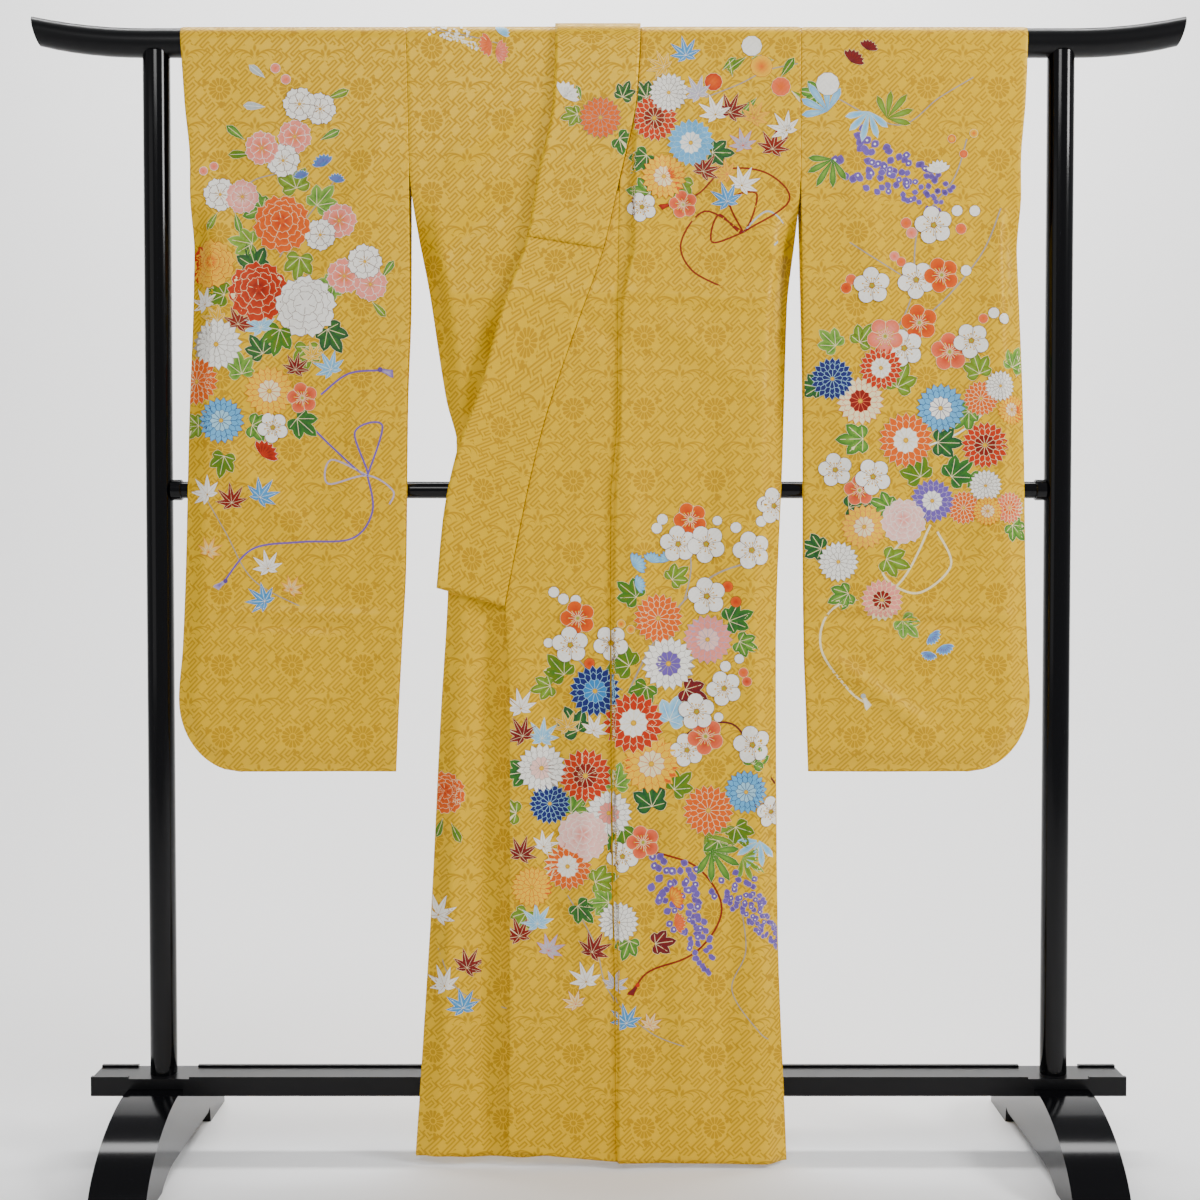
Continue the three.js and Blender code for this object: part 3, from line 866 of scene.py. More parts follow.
# A petal with a broad waved end.
def ruffled(length, width):
    rim = []
    for k in range(9):
        t = -1 + k / 4
        wave = 1 + 0.07 * math.cos(k * 2.6)
        rim.append((width / 2 * math.sin(t * 1.35) / math.sin(1.35), length * wave * (0.62 + 0.38 * math.cos(t * 1.35))))
    return [(0, 0)] + list(reversed(rim))


def disc(radius, count=12):
    return [(radius * math.cos(2 * math.pi * k / count), radius * math.sin(2 * math.pi * k / count)) for k in range(count)]


# Overlapping petals round a place, with a thin outline under each ring.
def petals(film, at, count, form, length, width, inner, outer, edge, turn, rim=0.55):
    for grow, a, b in ((rim, edge, edge), (0, inner, outer)):
        for k in range(count):
            angle = turn + 2 * math.pi * k / count
            start = (at[0] + grow * 0.6 * math.sin(angle), at[1] - grow * 0.6 * math.cos(angle))
            outline = form(length + 1.7 * grow, width + 2 * grow)
            film.shape(turned(outline, start, angle), a, b, turned([(0, length * 0.3)], start, angle)[0])
        film.layer += 1


# Thin lines from near the middle to the notches between petals.
def notches(film, at, count, start, end, edge, turn):
    for k in range(count):
        angle = turn + 2 * math.pi * (k + 0.5) / count
        line(film, [turned([(0, start)], at, angle)[0], turned([(0, end)], at, angle)[0]], 0.75, edge)
    film.layer += 0.5


def spot(film, at, radius, inner, outer, count=10):
    film.shape(turned(disc(radius, count), at, 0), inner, outer, at)
    film.layer += 1


def line(film, points, width, dye, taper=0.0):
    for k in range(len(points) - 1):
        (x0, y0), (x1, y1) = points[k], points[k + 1]
        length = math.hypot(x1 - x0, y1 - y0) or 1
        share = 1 - taper * k / len(points)
        nx, ny = -(y1 - y0) / length * width / 2 * share, (x1 - x0) / length * width / 2 * share
        film.shape([(x0 - nx, y0 - ny), (x1 - nx, y1 - ny), (x1 + nx, y1 + ny), (x0 + nx, y0 + ny)], dye, dye)


# A smooth route through a few places.
def route(places, count=8):
    spots = [places[0], *places, places[-1]]
    out = []
    for i in range(len(places) - 1):
        a, b, c, d = spots[i:i + 4]
        for k in range(count):
            t = k / count
            out.append(tuple(
                0.5 * (2 * b[n] + (c[n] - a[n]) * t + (2 * a[n] - 5 * b[n] + 4 * c[n] - d[n]) * t * t
                       + (3 * b[n] - a[n] - 3 * c[n] + d[n]) * t ** 3) for n in (0, 1)))
    return out + [places[-1]]


def chrysanthemum(film, at, size, outer, inner, edge, turn):
    for count, reach, dye in ((20, 1, outer), (16, 0.76, outer), (11, 0.48, inner)):
        length = size * reach
        petals(film, at, count, pointed, length, length * 5.9 / count, dye, dye, edge, turn + count)
        notches(film, at, count, length * 0.2, length * 0.86, edge, turn + count)
    spot(film, at, size * 0.1, "yellow", "gold")


def plum(film, at, size, outer, inner, edge, turn):
    for grow, a, b in ((0.5, edge, edge), (0, inner, outer)):
        for k in range(5):
            angle = turn + 2 * math.pi * k / 5
            place = turned([(0, size * 0.56)], at, angle)[0]
            film.shape(turned(disc(size * 0.42 + grow, 14), place, angle), a, b, turned([(0, size * 0.3)], at, angle)[0])
        film.layer += 1
    notches(film, at, 5, size * 0.3, size * 0.82, edge, turn)
    for k in range(15):
        angle = turn + 2 * math.pi * k / 15
        tip = turned([(0, size * (0.5 if k % 2 else 0.38))], at, angle)[0]
        line(film, [at, tip], 0.7, "gold" if outer == "white" else "cream")
        film.shape(turned(disc(1.3, 6), tip, 0), "yellow", "gold", tip)
    film.layer += 1
    spot(film, at, size * 0.1, "light", "gold")


def cherry(film, at, size, outer, inner, edge, turn):
    petals(film, at, 7, ruffled, size, size * 0.86, inner, outer, edge, turn)
    notches(film, at, 7, size * 0.5, size * 0.9, edge, turn)
    petals(film, at, 6, ruffled, size * 0.68, size * 0.62, inner, outer, edge, turn + 0.4)
    notches(film, at, 6, size * 0.2, size * 0.6, edge, turn + 0.4)
    for k in range(9):
        tip = turned([(0, size * 0.34)], at, turn + 2 * math.pi * k / 9)[0]
        line(film, [at, tip], 0.8, "gold")
    film.layer += 1
    spot(film, at, size * 0.09, "yellow", "gold")


def peony(film, at, size, outer, inner, edge, turn):
    for count, reach, up, more in ((9, 1, 0, 0), (8, 0.8, 0.03, 0.35), (7, 0.6, 0.07, 0.1), (5, 0.38, 0.1, 0.5)):
        place, length = (at[0], at[1] + size * up), size * reach
        petals(film, place, count, ruffled, length, length * 6.8 / count, inner, outer, edge, turn + more)
        notches(film, place, count, length * 0.35, length * 0.9, edge, turn + more)


def bud(film, at, size, outer, inner, edge, turn):
    for grow, a, b in ((0.5, edge, edge), (0, inner, outer)):
        film.shape(turned(disc(size + grow, 10), at, 0), a, b, at)
        film.layer += 1


# A leaf of five lobes with pale veins.
def leaf(film, at, size, outer, inner, edge, turn):
    lobes = ((-1.5, 0.52), (1.5, 0.52), (-0.72, 0.8), (0.72, 0.8), (0, 1))
    for grow, a, b in ((0.5, edge, edge), (0, inner, outer)):
        for offset, length in lobes:
            outline = rounded(size * length + grow, size * 0.42 + 2 * grow)
            film.shape(turned(outline, at, turn + offset), a, b, turned([(0, size * length * 0.4)], at, turn + offset)[0])
        film.layer += 1
    for offset, length in lobes:
        line(film, [at, turned([(0, size * length * 0.82)], at, turn + offset)[0]], 0.8, edge)
    film.layer += 1


def single(film, at, size, outer, inner, edge, turn):
    for grow, a, b in ((0.45, edge, edge), (0, inner, outer)):
        film.shape(turned(pointed(size + grow, size * 0.36 + 2 * grow), at, turn), a, b)
        film.layer += 1
    line(film, [at, turned([(0, size * 0.9)], at, turn)[0]], 0.7, edge)
    film.layer += 1


# A fan of narrow blades, as on bamboo.
def blades(film, at, size, outer, inner, edge, turn):
    for offset in (-1.1, -0.55, 0, 0.55, 1.1):
        for grow, a, b in ((0.4, edge, edge), (0, inner, outer)):
            film.shape(turned(pointed(size * (1 - 0.2 * abs(offset)) + grow, size * 0.2 + 2 * grow), at, turn + offset), a, b)
            film.layer += 0.5
    film.layer += 1


def maple(film, at, size, outer, inner, edge, turn):
    lobes = ((-2.1, 0.5), (2.1, 0.5), (-1.4, 0.78), (1.4, 0.78), (-0.7, 0.95), (0.7, 0.95), (0, 1))
    for grow, a, b in ((0.45, edge, edge), (0, inner, outer)):
        for offset, length in lobes:
            outline = blade(size * length + 1.6 * grow, size * 0.27 + 2 * grow, (0.5, 0.9, 1, 0.75, 0.4, 0))
            film.shape(turned(outline, at, turn + offset), a, b, turned([(0, size * 0.2)], at, turn + offset)[0])
        film.layer += 1
    for offset, length in lobes:
        line(film, [at, turned([(0, size * length * 0.8)], at, turn + offset)[0]], 0.45, edge)
    film.layer += 1


# Half an open flower seen from its side, on its stalk.
def half(film, at, size, outer, inner, edge, turn):
    for grow, a, b in ((0.4, edge, edge), (0, inner, outer)):
        for offset in (-1.05, -0.7, -0.35, 0, 0.35, 0.7, 1.05):
            film.shape(turned(pointed(size + grow, size * 0.3 + 2 * grow), at, turn + offset), a, b)
        film.layer += 1


# A hanging cluster of small flowers, wide at its foot. turn is the way it points.
def wisteria(film, at, size, outer, inner, edge, turn):
    chance = random.Random(int(at[0] * 7 + at[1]))
    for k in range(46):
        t = (k / 46) ** 0.85
        across = (chance.random() - 0.5) * size * 0.42 * (1 - t) ** 0.7
        place = turned([(across, size * t)], at, turn)[0]
        length = size * mix(0.085, 0.05, t)
        angle = turn + chance.uniform(-0.9, 0.9) + (0.7 if across < 0 else -0.7)
        film.shape(turned(rounded(length + 0.7, length * 0.8 + 1), place, angle), edge, edge)
        film.layer += 0.25
        film.shape(turned(rounded(length, length * 0.8), place, angle), inner, outer)
        film.layer += 0.25
        if k % 3 == 0 and t < 0.7:
            film.shape(turned(disc(length * 0.14, 6), turned([(0, length * 0.5)], place, angle)[0], 0), "white", "white")
        film.layer -= 0.5
    film.layer += 1


def tassel(film, at, size, outer, inner, edge, turn):
    film.shape(turned(blade(size, size * 0.5, (0.3, 0.55, 0.6, 0.8, 1, 0.9)), at, turn), inner, outer)
    film.layer += 1
    spot(film, at, size * 0.17, edge, edge, 8)


kinds = {
    "chrysanthemum": chrysanthemum, "plum": plum, "cherry": cherry, "peony": peony, "bud": bud,
    "leaf": leaf, "single": single, "blades": blades, "maple": maple, "half": half,
    "wisteria": wisteria, "tassel": tassel,
}

# Cords and twigs: dye, width and a few places that each runs through.
threads = {
    "rightSleeve": [
        ("violet", 2.6, [(-420, 1130), (-380, 1160), (-335, 1165)]),
        ("violet", 2.6, [(-440, 1090), (-400, 1050), (-352, 1012), (-370, 1075), (-330, 1085), (-352, 1012)]),
        ("lilac", 2.6, [(-352, 1012), (-405, 1035), (-410, 1000), (-352, 1012), (-315, 990), (-320, 970)]),
        ("violet", 2.6, [(-352, 1012), (-345, 960), (-375, 920), (-450, 915), (-520, 905), (-560, 860)]),
        ("grey", 1.8, [(-560, 1400), (-520, 1440), (-470, 1460), (-450, 1520)]),
        ("grey", 1.8, [(-480, 1330), (-430, 1400), (-400, 1440)]),
        ("grey", 1.6, [(-600, 1000), (-560, 930), (-520, 860), (-450, 820)]),
    ],
    "leftSleeve": [
        ("grey", 1.8, [(330, 1560), (420, 1520), (480, 1560), (530, 1590)]),
        ("grey", 2.2, [(400, 1190), (440, 1270), (450, 1370), (500, 1440), (520, 1500)]),
        ("grey", 2.2, [(400, 1210), (470, 1250), (540, 1330), (570, 1400)]),
        ("grey", 1.8, [(430, 1300), (380, 1330), (350, 1350)]),
        ("cream", 3.2, [(470, 940), (420, 850), (330, 820), (310, 760), (350, 700), (375, 680)]),
        ("cream", 3.2, [(480, 930), (500, 880), (450, 840), (400, 870), (430, 920)]),
        ("white", 2.6, [(450, 1050), (520, 1080), (590, 1150), (612, 1180)]),
    ],
    "chest": [
        ("crimson", 2.6, [(90, 1405), (130, 1420), (170, 1455), (230, 1450), (262, 1410), (195, 1364)]),
        ("crimson", 2.6, [(195, 1364), (175, 1410), (215, 1420), (195, 1364), (160, 1390), (150, 1350), (195, 1364)]),
        ("crimson", 2.6, [(195, 1364), (140, 1395), (105, 1350), (120, 1310), (165, 1285)]),
        ("mist", 2.6, [(195, 1364), (230, 1395), (258, 1370), (240, 1345)]),
        ("grey", 1.8, [(140, 1560), (190, 1580), (230, 1600), (275, 1610)]),
    ],
    "skirt": [
        ("grey", 2.6, [(30, 700), (60, 760), (110, 830), (160, 870), (225, 890)]),
        ("grey", 2.2, [(110, 830), (120, 880), (110, 940)]),
        ("grey", 1.8, [(-60, 760), (-20, 720), (20, 700)]),
        ("wine", 2.8, [(90, 590), (120, 640), (180, 650), (215, 600), (245, 560)]),
        ("crimson", 2.8, [(-10, 475), (60, 465), (130, 440), (165, 380), (130, 320), (60, 290), (40, 268)]),
        ("grey", 1.6, [(190, 400), (200, 320), (180, 260), (220, 200), (240, 185)]),
        ("grey", 1.6, [(-60, 400), (-20, 330), (0, 260), (60, 200), (110, 180)]),
    ],
    "underHem": [("grey", 1.6, [(-250, 320), (-220, 260), (-170, 235), (-150, 230)])],
    "shoulder": [("grey", 1.6, [(-250, 1660), (-200, 1650), (-160, 1640)])],
    "lapel": [],
}

# Motifs in their own places: kind, x, level, size, outer, inner and edge dyes, turn.
motifs = {
    "rightSleeve": [
        ("single", -500, 1590, 26, "mist", "mist", "white", 0.9),
        ("bud", -485, 1604, 7, "pink", "coral", "white", 0),
        ("bud", -470, 1588, 7, "pink", "coral", "white", 0),
        ("single", -410, 1560, 30, "olive", "light", "cream", -1.2),
        ("single", -500, 1548, 28, "mist", "mist", "white", 1.5),
        ("single", -530, 1500, 30, "green", "light", "cream", 0.9),
        ("single", -520, 1480, 30, "olive", "green", "cream", 1.6),
        ("single", -420, 1500, 28, "green", "light", "cream", -1.1),
        ("leaf", -455, 1430, 34, "olive", "light", "cream", 0.3),
        ("leaf", -505, 1400, 32, "green", "light", "cream", 1.2),
        ("single", -570, 1395, 26, "olive", "light", "cream", 2.6),
        ("single", -545, 1395, 26, "green", "light", "cream", 3.4),
        ("leaf", -425, 1405, 32, "light", "green", "cream", -0.7),
        ("leaf", -520, 1350, 30, "light", "olive", "cream", 1.4),
        ("leaf", -450, 1330, 32, "olive", "light", "cream", 3.0),
        ("leaf", -515, 1315, 34, "dark", "green", "cream", 0.3),
        ("leaf", -400, 1290, 30, "light", "green", "cream", 2.2),
        ("single", -330, 1300, 26, "green", "light", "cream", -0.6),
        ("single", -345, 1265, 26, "olive", "light", "cream", -2.4),
        ("leaf", -560, 1275, 30, "olive", "green", "cream", 1.3),
        ("leaf", -480, 1225, 34, "green", "olive", "cream", 2.9),
        ("leaf", -410, 1225, 34, "dark", "green", "cream", -2.6),
        ("leaf", -440, 1200, 30, "olive", "light", "cream", 3.1),
        ("leaf", -535, 1160, 30, "light", "green", "cream", 0.2),
        ("leaf", -600, 1085, 28, "olive", "light", "cream", 1.6),
        ("leaf", -520, 1085, 30, "green", "light", "cream", -1.8),
        ("leaf", -560, 1040, 28, "olive", "green", "cream", 2.9),
        ("leaf", -455, 1095, 32, "green", "dark", "cream", -2.3),
        ("leaf", -505, 1190, 28, "dark", "green", "cream", 0.6),
        ("maple", -590, 1262, 26, "white", "white", "gold", 0.5),
        ("maple", -570, 1238, 26, "yellow", "gold", "cream", 1.3),
        ("maple", -540, 1232, 27, "crimson", "crimson", "cream", -0.3),
        ("maple", -508, 1228, 28, "ice", "sky", "white", 0.4),
        ("maple", -457, 1166, 24, "crimson", "wine", "cream", -0.2),
        ("maple", -405, 1166, 27, "sky", "ice", "white", 0.5),
        ("maple", -432, 1185, 20, "yellow", "gold", "cream", 0.2),
        ("maple", -586, 984, 28, "white", "white", "gold", 0.7),
        ("maple", -550, 972, 27, "crimson", "crimson", "cream", 0.1),
        ("maple", -508, 980, 28, "blue", "sky", "white", -0.6),
        ("maple", -498, 876, 26, "white", "white", "gold", 0.2),
        ("maple", -503, 828, 27, "blue", "sky", "white", 0.9),
        ("maple", -465, 845, 20, "yellow", "cream", "coral", -0.5),
        ("maple", -585, 900, 22, "yellow", "cream", "coral", -0.4),
        ("half", -506, 1040, 24, "red", "crimson", "white", -0.7),
        ("cherry", -505, 1488, 24, "pink", "coral", "white", 0.2),
        ("cherry", -457, 1505, 24, "pink", "coral", "white", 0.8),
        ("cherry", -474, 1470, 24, "white", "white", "brown", 0.3),
        ("cherry", -450, 1552, 24, "white", "white", "brown", 0.6),
        ("cherry", -420, 1545, 23, "white", "white", "brown", 0.1),
        ("half", -414, 1462, 18, "blue", "violet", "white", 0.4),
        ("half", -447, 1444, 13, "blue", "violet", "white", 0.2),
        ("half", -397, 1438, 14, "blue", "violet", "white", -0.2),
        ("bud", -590, 1455, 6, "pink", "coral", "white", 0),
        ("bud", -575, 1462, 6, "pink", "coral", "white", 0),
        ("cherry", -566, 1421, 24, "white", "white", "brown", 0.5),
        ("cherry", -534, 1418, 24, "pink", "blush", "white", 0.1),
        ("peony", -476, 1378, 38, "orange", "red", "cream", 0.4),
        ("cherry", -392, 1382, 25, "pink", "coral", "white", 0.3),
        ("cherry", -420, 1362, 23, "white", "white", "brown", 0.6),
        ("peony", -580, 1320, 32, "yellow", "orange", "red", 0.1),
        ("cherry", -385, 1302, 25, "pink", "coral", "white", 0.1),
        ("cherry", -347, 1290, 24, "pink", "pink", "white", 0.5),
        ("cherry", -355, 1323, 25, "white", "white", "brown", 0.2),
        ("peony", -511, 1280, 40, "red", "crimson", "cream", 0.2),
        ("peony", -442, 1258, 41, "white", "white", "brown", 0.7),
        ("chrysanthemum", -604, 1150, 33, "orange", "orange", "cream", 0.1),
        ("chrysanthemum", -572, 1203, 36, "white", "white", "grey", 0.2),
        ("chrysanthemum", -495, 1135, 34, "yellow", "cream", "orange", 0.2),
        ("plum", -447, 1125, 22, "coral", "red", "cream", 0.2),
        ("chrysanthemum", -565, 1092, 32, "sky", "ice", "navy", 0.3),
        ("plum", -490, 1082, 22, "white", "white", "brown", 0.5),
        ("tassel", -333, 1166, 22, "violet", "lilac", "purple", -1.9),
        ("tassel", -560, 858, 20, "lilac", "violet", "purple", 2.2),
    ],
    "leftSleeve": [
        ("blades", 404, 1530, 46, "olive", "light", "cream", -0.7),
        ("blades", 325, 1470, 46, "green", "light", "cream", 2.6),
        ("blades", 318, 1540, 50, "sky", "ice", "white", 0.6),
        ("blades", 378, 1540, 46, "ice", "sky", "white", 2.9),
        ("leaf", 305, 1565, 26, "green", "light", "cream", 1.4),
        ("half", 352, 1612, 20, "wine", "crimson", "cream", -0.6),
        ("half", 376, 1630, 16, "wine", "crimson", "cream", -0.4),
        ("bud", 318, 1580, 17, "white", "white", "brown", 0),
        ("wisteria", 335, 1490, 175, "violet", "purple", "lilac", -1.95),
        ("wisteria", 350, 1470, 150, "violet", "violet", "lilac", -2.05),
        ("half", 479, 1450, 20, "white", "white", "brown", 0.1),
        ("bud", 498, 1500, 6, "orange", "yellow", "cream", 0),
        ("bud", 515, 1478, 6, "orange", "coral", "cream", 0),
        ("bud", 530, 1508, 6, "yellow", "orange", "cream", 0),
        ("bud", 432, 1378, 8, "coral", "orange", "cream", 0),
        ("bud", 440, 1364, 8, "pink", "coral", "cream", 0),
        ("bud", 512, 1370, 8, "coral", "orange", "cream", 0),
        ("bud", 506, 1396, 8, "white", "white", "brown", 0),
        ("bud", 532, 1396, 8, "white", "white", "brown", 0),
        ("plum", 472, 1375, 27, "white", "white", "brown", 0.2),
        ("bud", 425, 1322, 7, "coral", "orange", "cream", 0),
        ("bud", 415, 1330, 7, "pink", "coral", "cream", 0),
        ("plum", 484, 1303, 25, "orange", "red", "cream", 0.4),
        ("plum", 382, 1287, 26, "white", "white", "brown", 0.1),
        ("plum", 447, 1296, 27, "white", "white", "brown", 0.6),
        ("bud", 345, 1284, 8, "orange", "red", "cream", 0),
        ("bud", 352, 1296, 8, "coral", "orange", "cream", 0),
        ("bud", 520, 1310, 8, "white", "white", "brown", 0),
        ("plum", 452, 1234, 26, "orange", "red", "cream", 0.2),
        ("plum", 402, 1214, 26, "coral", "pink", "cream", 0.6),
        ("plum", 497, 1192, 27, "coral", "red", "cream", 0.1),
        ("plum", 430, 1197, 27, "white", "white", "brown", 0.3),
        ("plum", 528, 1208, 25, "white", "white", "brown", 0.5),
        ("bud", 560, 1248, 8, "white", "white", "brown", 0),
        ("bud", 576, 1240, 8, "white", "white", "brown", 0),
        ("bud", 545, 1240, 7, "coral", "orange", "cream", 0),
        ("leaf", 330, 1200, 28, "light", "green", "cream", 0.8),
        ("leaf", 365, 1205, 28, "olive", "light", "cream", -0.6),
        ("leaf", 305, 1140, 26, "dark", "green", "cream", 1.4),
        ("leaf", 420, 1140, 34, "olive", "light", "cream", -0.4),
        ("leaf", 370, 1065, 34, "green", "light", "cream", 1.6),
        ("leaf", 480, 1060, 32, "dark", "green", "cream", -1.6),
        ("leaf", 540, 1160, 30, "olive", "light", "cream", 0.3),
        ("leaf", 525, 1105, 30, "green", "light", "cream", 2.4),
        ("leaf", 590, 1170, 28, "light", "green", "cream", -0.4),
        ("leaf", 455, 1010, 34, "olive", "green", "cream", 0.6),
        ("leaf", 500, 1010, 34, "green", "dark", "cream", -0.9),
        ("leaf", 545, 1010, 28, "green", "light", "cream", 2.9),
        ("leaf", 350, 965, 28, "dark", "green", "cream", -1.4),
        ("leaf", 410, 965, 28, "green", "light", "cream", 1.2),
        ("leaf", 310, 905, 28, "dark", "green", "cream", 1.3),
        ("leaf", 405, 890, 32, "olive", "light", "cream", -1.9),
        ("leaf", 350, 840, 28, "green", "light", "cream", 2.0),
        ("leaf", 430, 800, 28, "light", "green", "cream", -2.4),
        ("leaf", 590, 940, 26, "green", "light", "cream", -2.4),
        ("half", 470, 780, 16, "sky", "violet", "white", -2.3),
        ("half", 490, 765, 16, "sky", "violet", "white", -2.8),
        ("half", 470, 755, 14, "sky", "violet", "white", 2.9),
        ("chrysanthemum", 325, 1152, 29, "navy", "navy", "ice", 0.1),
        ("chrysanthemum", 396, 1168, 30, "red", "white", "cream", 0.3),
        ("chrysanthemum", 366, 1120, 33, "cream", "crimson", "coral", 0.2),
        ("chrysanthemum", 484, 1110, 34, "sky", "white", "navy", 0.4),
        ("chrysanthemum", 433, 1063, 38, "orange", "white", "cream", 0.1),
        ("chrysanthemum", 548, 1056, 32, "red", "crimson", "cream", 0.3),
        ("chrysanthemum", 542, 1124, 24, "orange", "orange", "cream", 0.2),
        ("chrysanthemum", 570, 1142, 21, "white", "white", "grey", 0.1),
        ("chrysanthemum", 588, 1108, 21, "yellow", "cream", "orange", 0.1),
        ("plum", 330, 1020, 24, "white", "white", "brown", 0.2),
        ("plum", 385, 1010, 26, "white", "white", "brown", 0.5),
        ("plum", 365, 990, 22, "coral", "red", "cream", 0.1),
        ("chrysanthemum", 472, 975, 30, "violet", "white", "lilac", 0.2),
        ("peony", 430, 945, 30, "blush", "pink", "white", 0.3),
        ("chrysanthemum", 518, 965, 23, "orange", "orange", "cream", 0.4),
        ("chrysanthemum", 549, 997, 22, "white", "white", "grey", 0.2),
        ("chrysanthemum", 552, 960, 20, "yellow", "cream", "orange", 0.3),
        ("chrysanthemum", 585, 965, 22, "coral", "orange", "cream", 0.1),
        ("chrysanthemum", 372, 937, 31, "yellow", "cream", "coral", 0.2),
        ("chrysanthemum", 335, 886, 28, "white", "white", "grey", 0.1),
        ("chrysanthemum", 399, 830, 29, "pink", "crimson", "cream", 0.3),
        ("tassel", 372, 690, 22, "cream", "white", "mist", 3.6),
    ],
    "chest": [
        ("maple", 112, 1622, 26, "blue", "sky", "white", 0.2),
        ("maple", 80, 1605, 24, "yellow", "gold", "cream", 1.1),
        ("maple", 130, 1565, 26, "lilac", "mist", "white", 0.5),
        ("leaf", 55, 1560, 26, "dark", "green", "cream", 0.6),
        ("single", 165, 1600, 24, "green", "light", "cream", -0.8),
        ("single", 180, 1590, 24, "olive", "light", "cream", 0.2),
        ("single", 200, 1620, 30, "olive", "green", "cream", 2.2),
        ("single", 240, 1615, 28, "light", "green", "cream", 1.5),
        ("single", 250, 1590, 30, "green", "olive", "cream", -0.6),
        ("single", 265, 1570, 28, "olive", "light", "cream", -2.2),
        ("single", 215, 1560, 28, "green", "light", "cream", 2.4),
        ("maple", 155, 1535, 28, "white", "white", "gold", 0.3),
        ("maple", 176, 1538, 28, "crimson", "wine", "cream", -0.4),
        ("maple", 210, 1530, 24, "yellow", "gold", "coral", -0.5),
        ("maple", 195, 1490, 24, "lilac", "mist", "coral", 0.2),
        ("maple", 258, 1512, 28, "white", "white", "gold", 0.6),
        ("maple", 238, 1485, 28, "crimson", "crimson", "cream", -0.2),
        ("maple", 137, 1452, 27, "crimson", "wine", "cream", -0.6),
        ("maple", 172, 1448, 22, "yellow", "gold", "coral", 0.9),
        ("maple", 193, 1432, 28, "white", "white", "gold", -0.5),
        ("maple", 172, 1408, 27, "blue", "sky", "white", 0.3),
        ("leaf", 150, 1480, 28, "dark", "green", "cream", -1.6),
        ("leaf", 55, 1475, 28, "green", "dark", "cream", 2.4),
        ("leaf", 105, 1440, 30, "olive", "light", "cream", 2.9),
        ("leaf", 60, 1420, 30, "green", "light", "cream", 1.4),
        ("bud", 208, 1636, 15, "white", "white", "brown", 0),
        ("bud", 222, 1606, 16, "yellow", "orange", "red", 0),
        ("bud", 250, 1576, 14, "coral", "orange", "cream", 0),
        ("bud", 152, 1583, 13, "red", "orange", "cream", 0),
        ("chrysanthemum", 87, 1567, 27, "white", "white", "grey", 0.1),
        ("chrysanthemum", 66, 1530, 32, "red", "crimson", "cream", 0.3),
        ("chrysanthemum", 119, 1494, 32, "sky", "white", "ice", 0.2),
        ("chrysanthemum", 80, 1445, 31, "yellow", "cream", "orange", 0.2),
        ("plum", 48, 1400, 21, "white", "white", "brown", 0.4),
        ("plum", 108, 1405, 20, "coral", "red", "cream", 0.2),
        ("tassel", 90, 1405, 18, "crimson", "red", "wine", 1.9),
    ],
    "lapel": [
        ("half", -66, 1560, 24, "white", "white", "gold", -0.7),
        ("single", -40, 1555, 20, "green", "light", "cream", 0.3),
        ("leaf", -45, 1535, 22, "olive", "light", "cream", 1.8),
        ("leaf", 15, 1500, 26, "green", "dark", "cream", -2.2),
        ("leaf", 20, 1560, 22, "dark", "green", "cream", -0.4),
        ("chrysanthemum", -12, 1530, 29, "orange", "orange", "grey", 0.1),
    ],
    "shoulder": [
        ("wisteria", -262, 1668, 60, "white", "white", "cream", -2.0),
        ("wisteria", -225, 1668, 50, "white", "white", "cream", -2.4),
        ("half", -170, 1640, 20, "coral", "orange", "cream", 1.8),
        ("half", -165, 1628, 20, "coral", "pink", "cream", -1.6),
        ("half", -160, 1655, 16, "ice", "sky", "white", -0.8),
    ],
    "skirt": [
        ("plum", 242, 968, 26, "white", "white", "brown", 0.2),
        ("bud", 222, 945, 8, "white", "white", "brown", 0),
        ("bud", 78, 948, 8, "white", "white", "brown", 0),
        ("bud", 70, 935, 8, "white", "white", "brown", 0),
        ("bud", 158, 946, 7, "white", "white", "brown", 0),
        ("bud", 185, 936, 8, "white", "white", "brown", 0),
        ("plum", 119, 948, 24, "orange", "red", "cream", 0.4),
        ("plum", 101, 912, 26, "white", "white", "brown", 0.1),
        ("plum", 142, 912, 27, "white", "white", "brown", 0.5),
        ("plum", 208, 903, 27, "white", "white", "brown", 0.3),
        ("half", 35, 880, 20, "sky", "ice", "navy", -1.0),
        ("half", 62, 885, 16, "sky", "ice", "navy", -0.3),
        ("half", 88, 888, 16, "sky", "ice", "navy", 0.6),
        ("half", 38, 852, 16, "sky", "ice", "navy", -1.3),
        ("leaf", 92, 860, 26, "olive", "light", "cream", -0.9),
        ("leaf", 40, 835, 30, "green", "olive", "cream", 0.9),
        ("plum", 143, 836, 27, "white", "white", "brown", 0.2),
        ("bud", 173, 850, 8, "orange", "red", "brown", 0),
        ("bud", 185, 828, 8, "orange", "red", "brown", 0),
        ("bud", -80, 842, 8, "white", "white", "brown", 0),
        ("bud", -66, 832, 8, "white", "white", "brown", 0),
        ("bud", -48, 830, 8, "white", "white", "brown", 0),
        ("plum", -45, 804, 25, "orange", "red", "cream", 0.3),
        ("plum", -56, 765, 26, "white", "white", "brown", 0.1),
        ("bud", -88, 768, 7, "white", "white", "brown", 0),
        ("plum", 3, 768, 25, "white", "white", "brown", 0.6),
        ("bud", -28, 738, 8, "orange", "red", "brown", 0),
        ("bud", 18, 796, 6, "yellow", "orange", "cream", 0),
        ("bud", 32, 788, 6, "yellow", "orange", "cream", 0),
        ("leaf", 175, 800, 32, "green", "dark", "cream", -1.2),
        ("leaf", 190, 770, 26, "green", "light", "cream", -2.0),
        ("leaf", -65, 722, 32, "olive", "green", "cream", 0.7),
        ("leaf", -85, 705, 26, "olive", "light", "cream", 1.8),
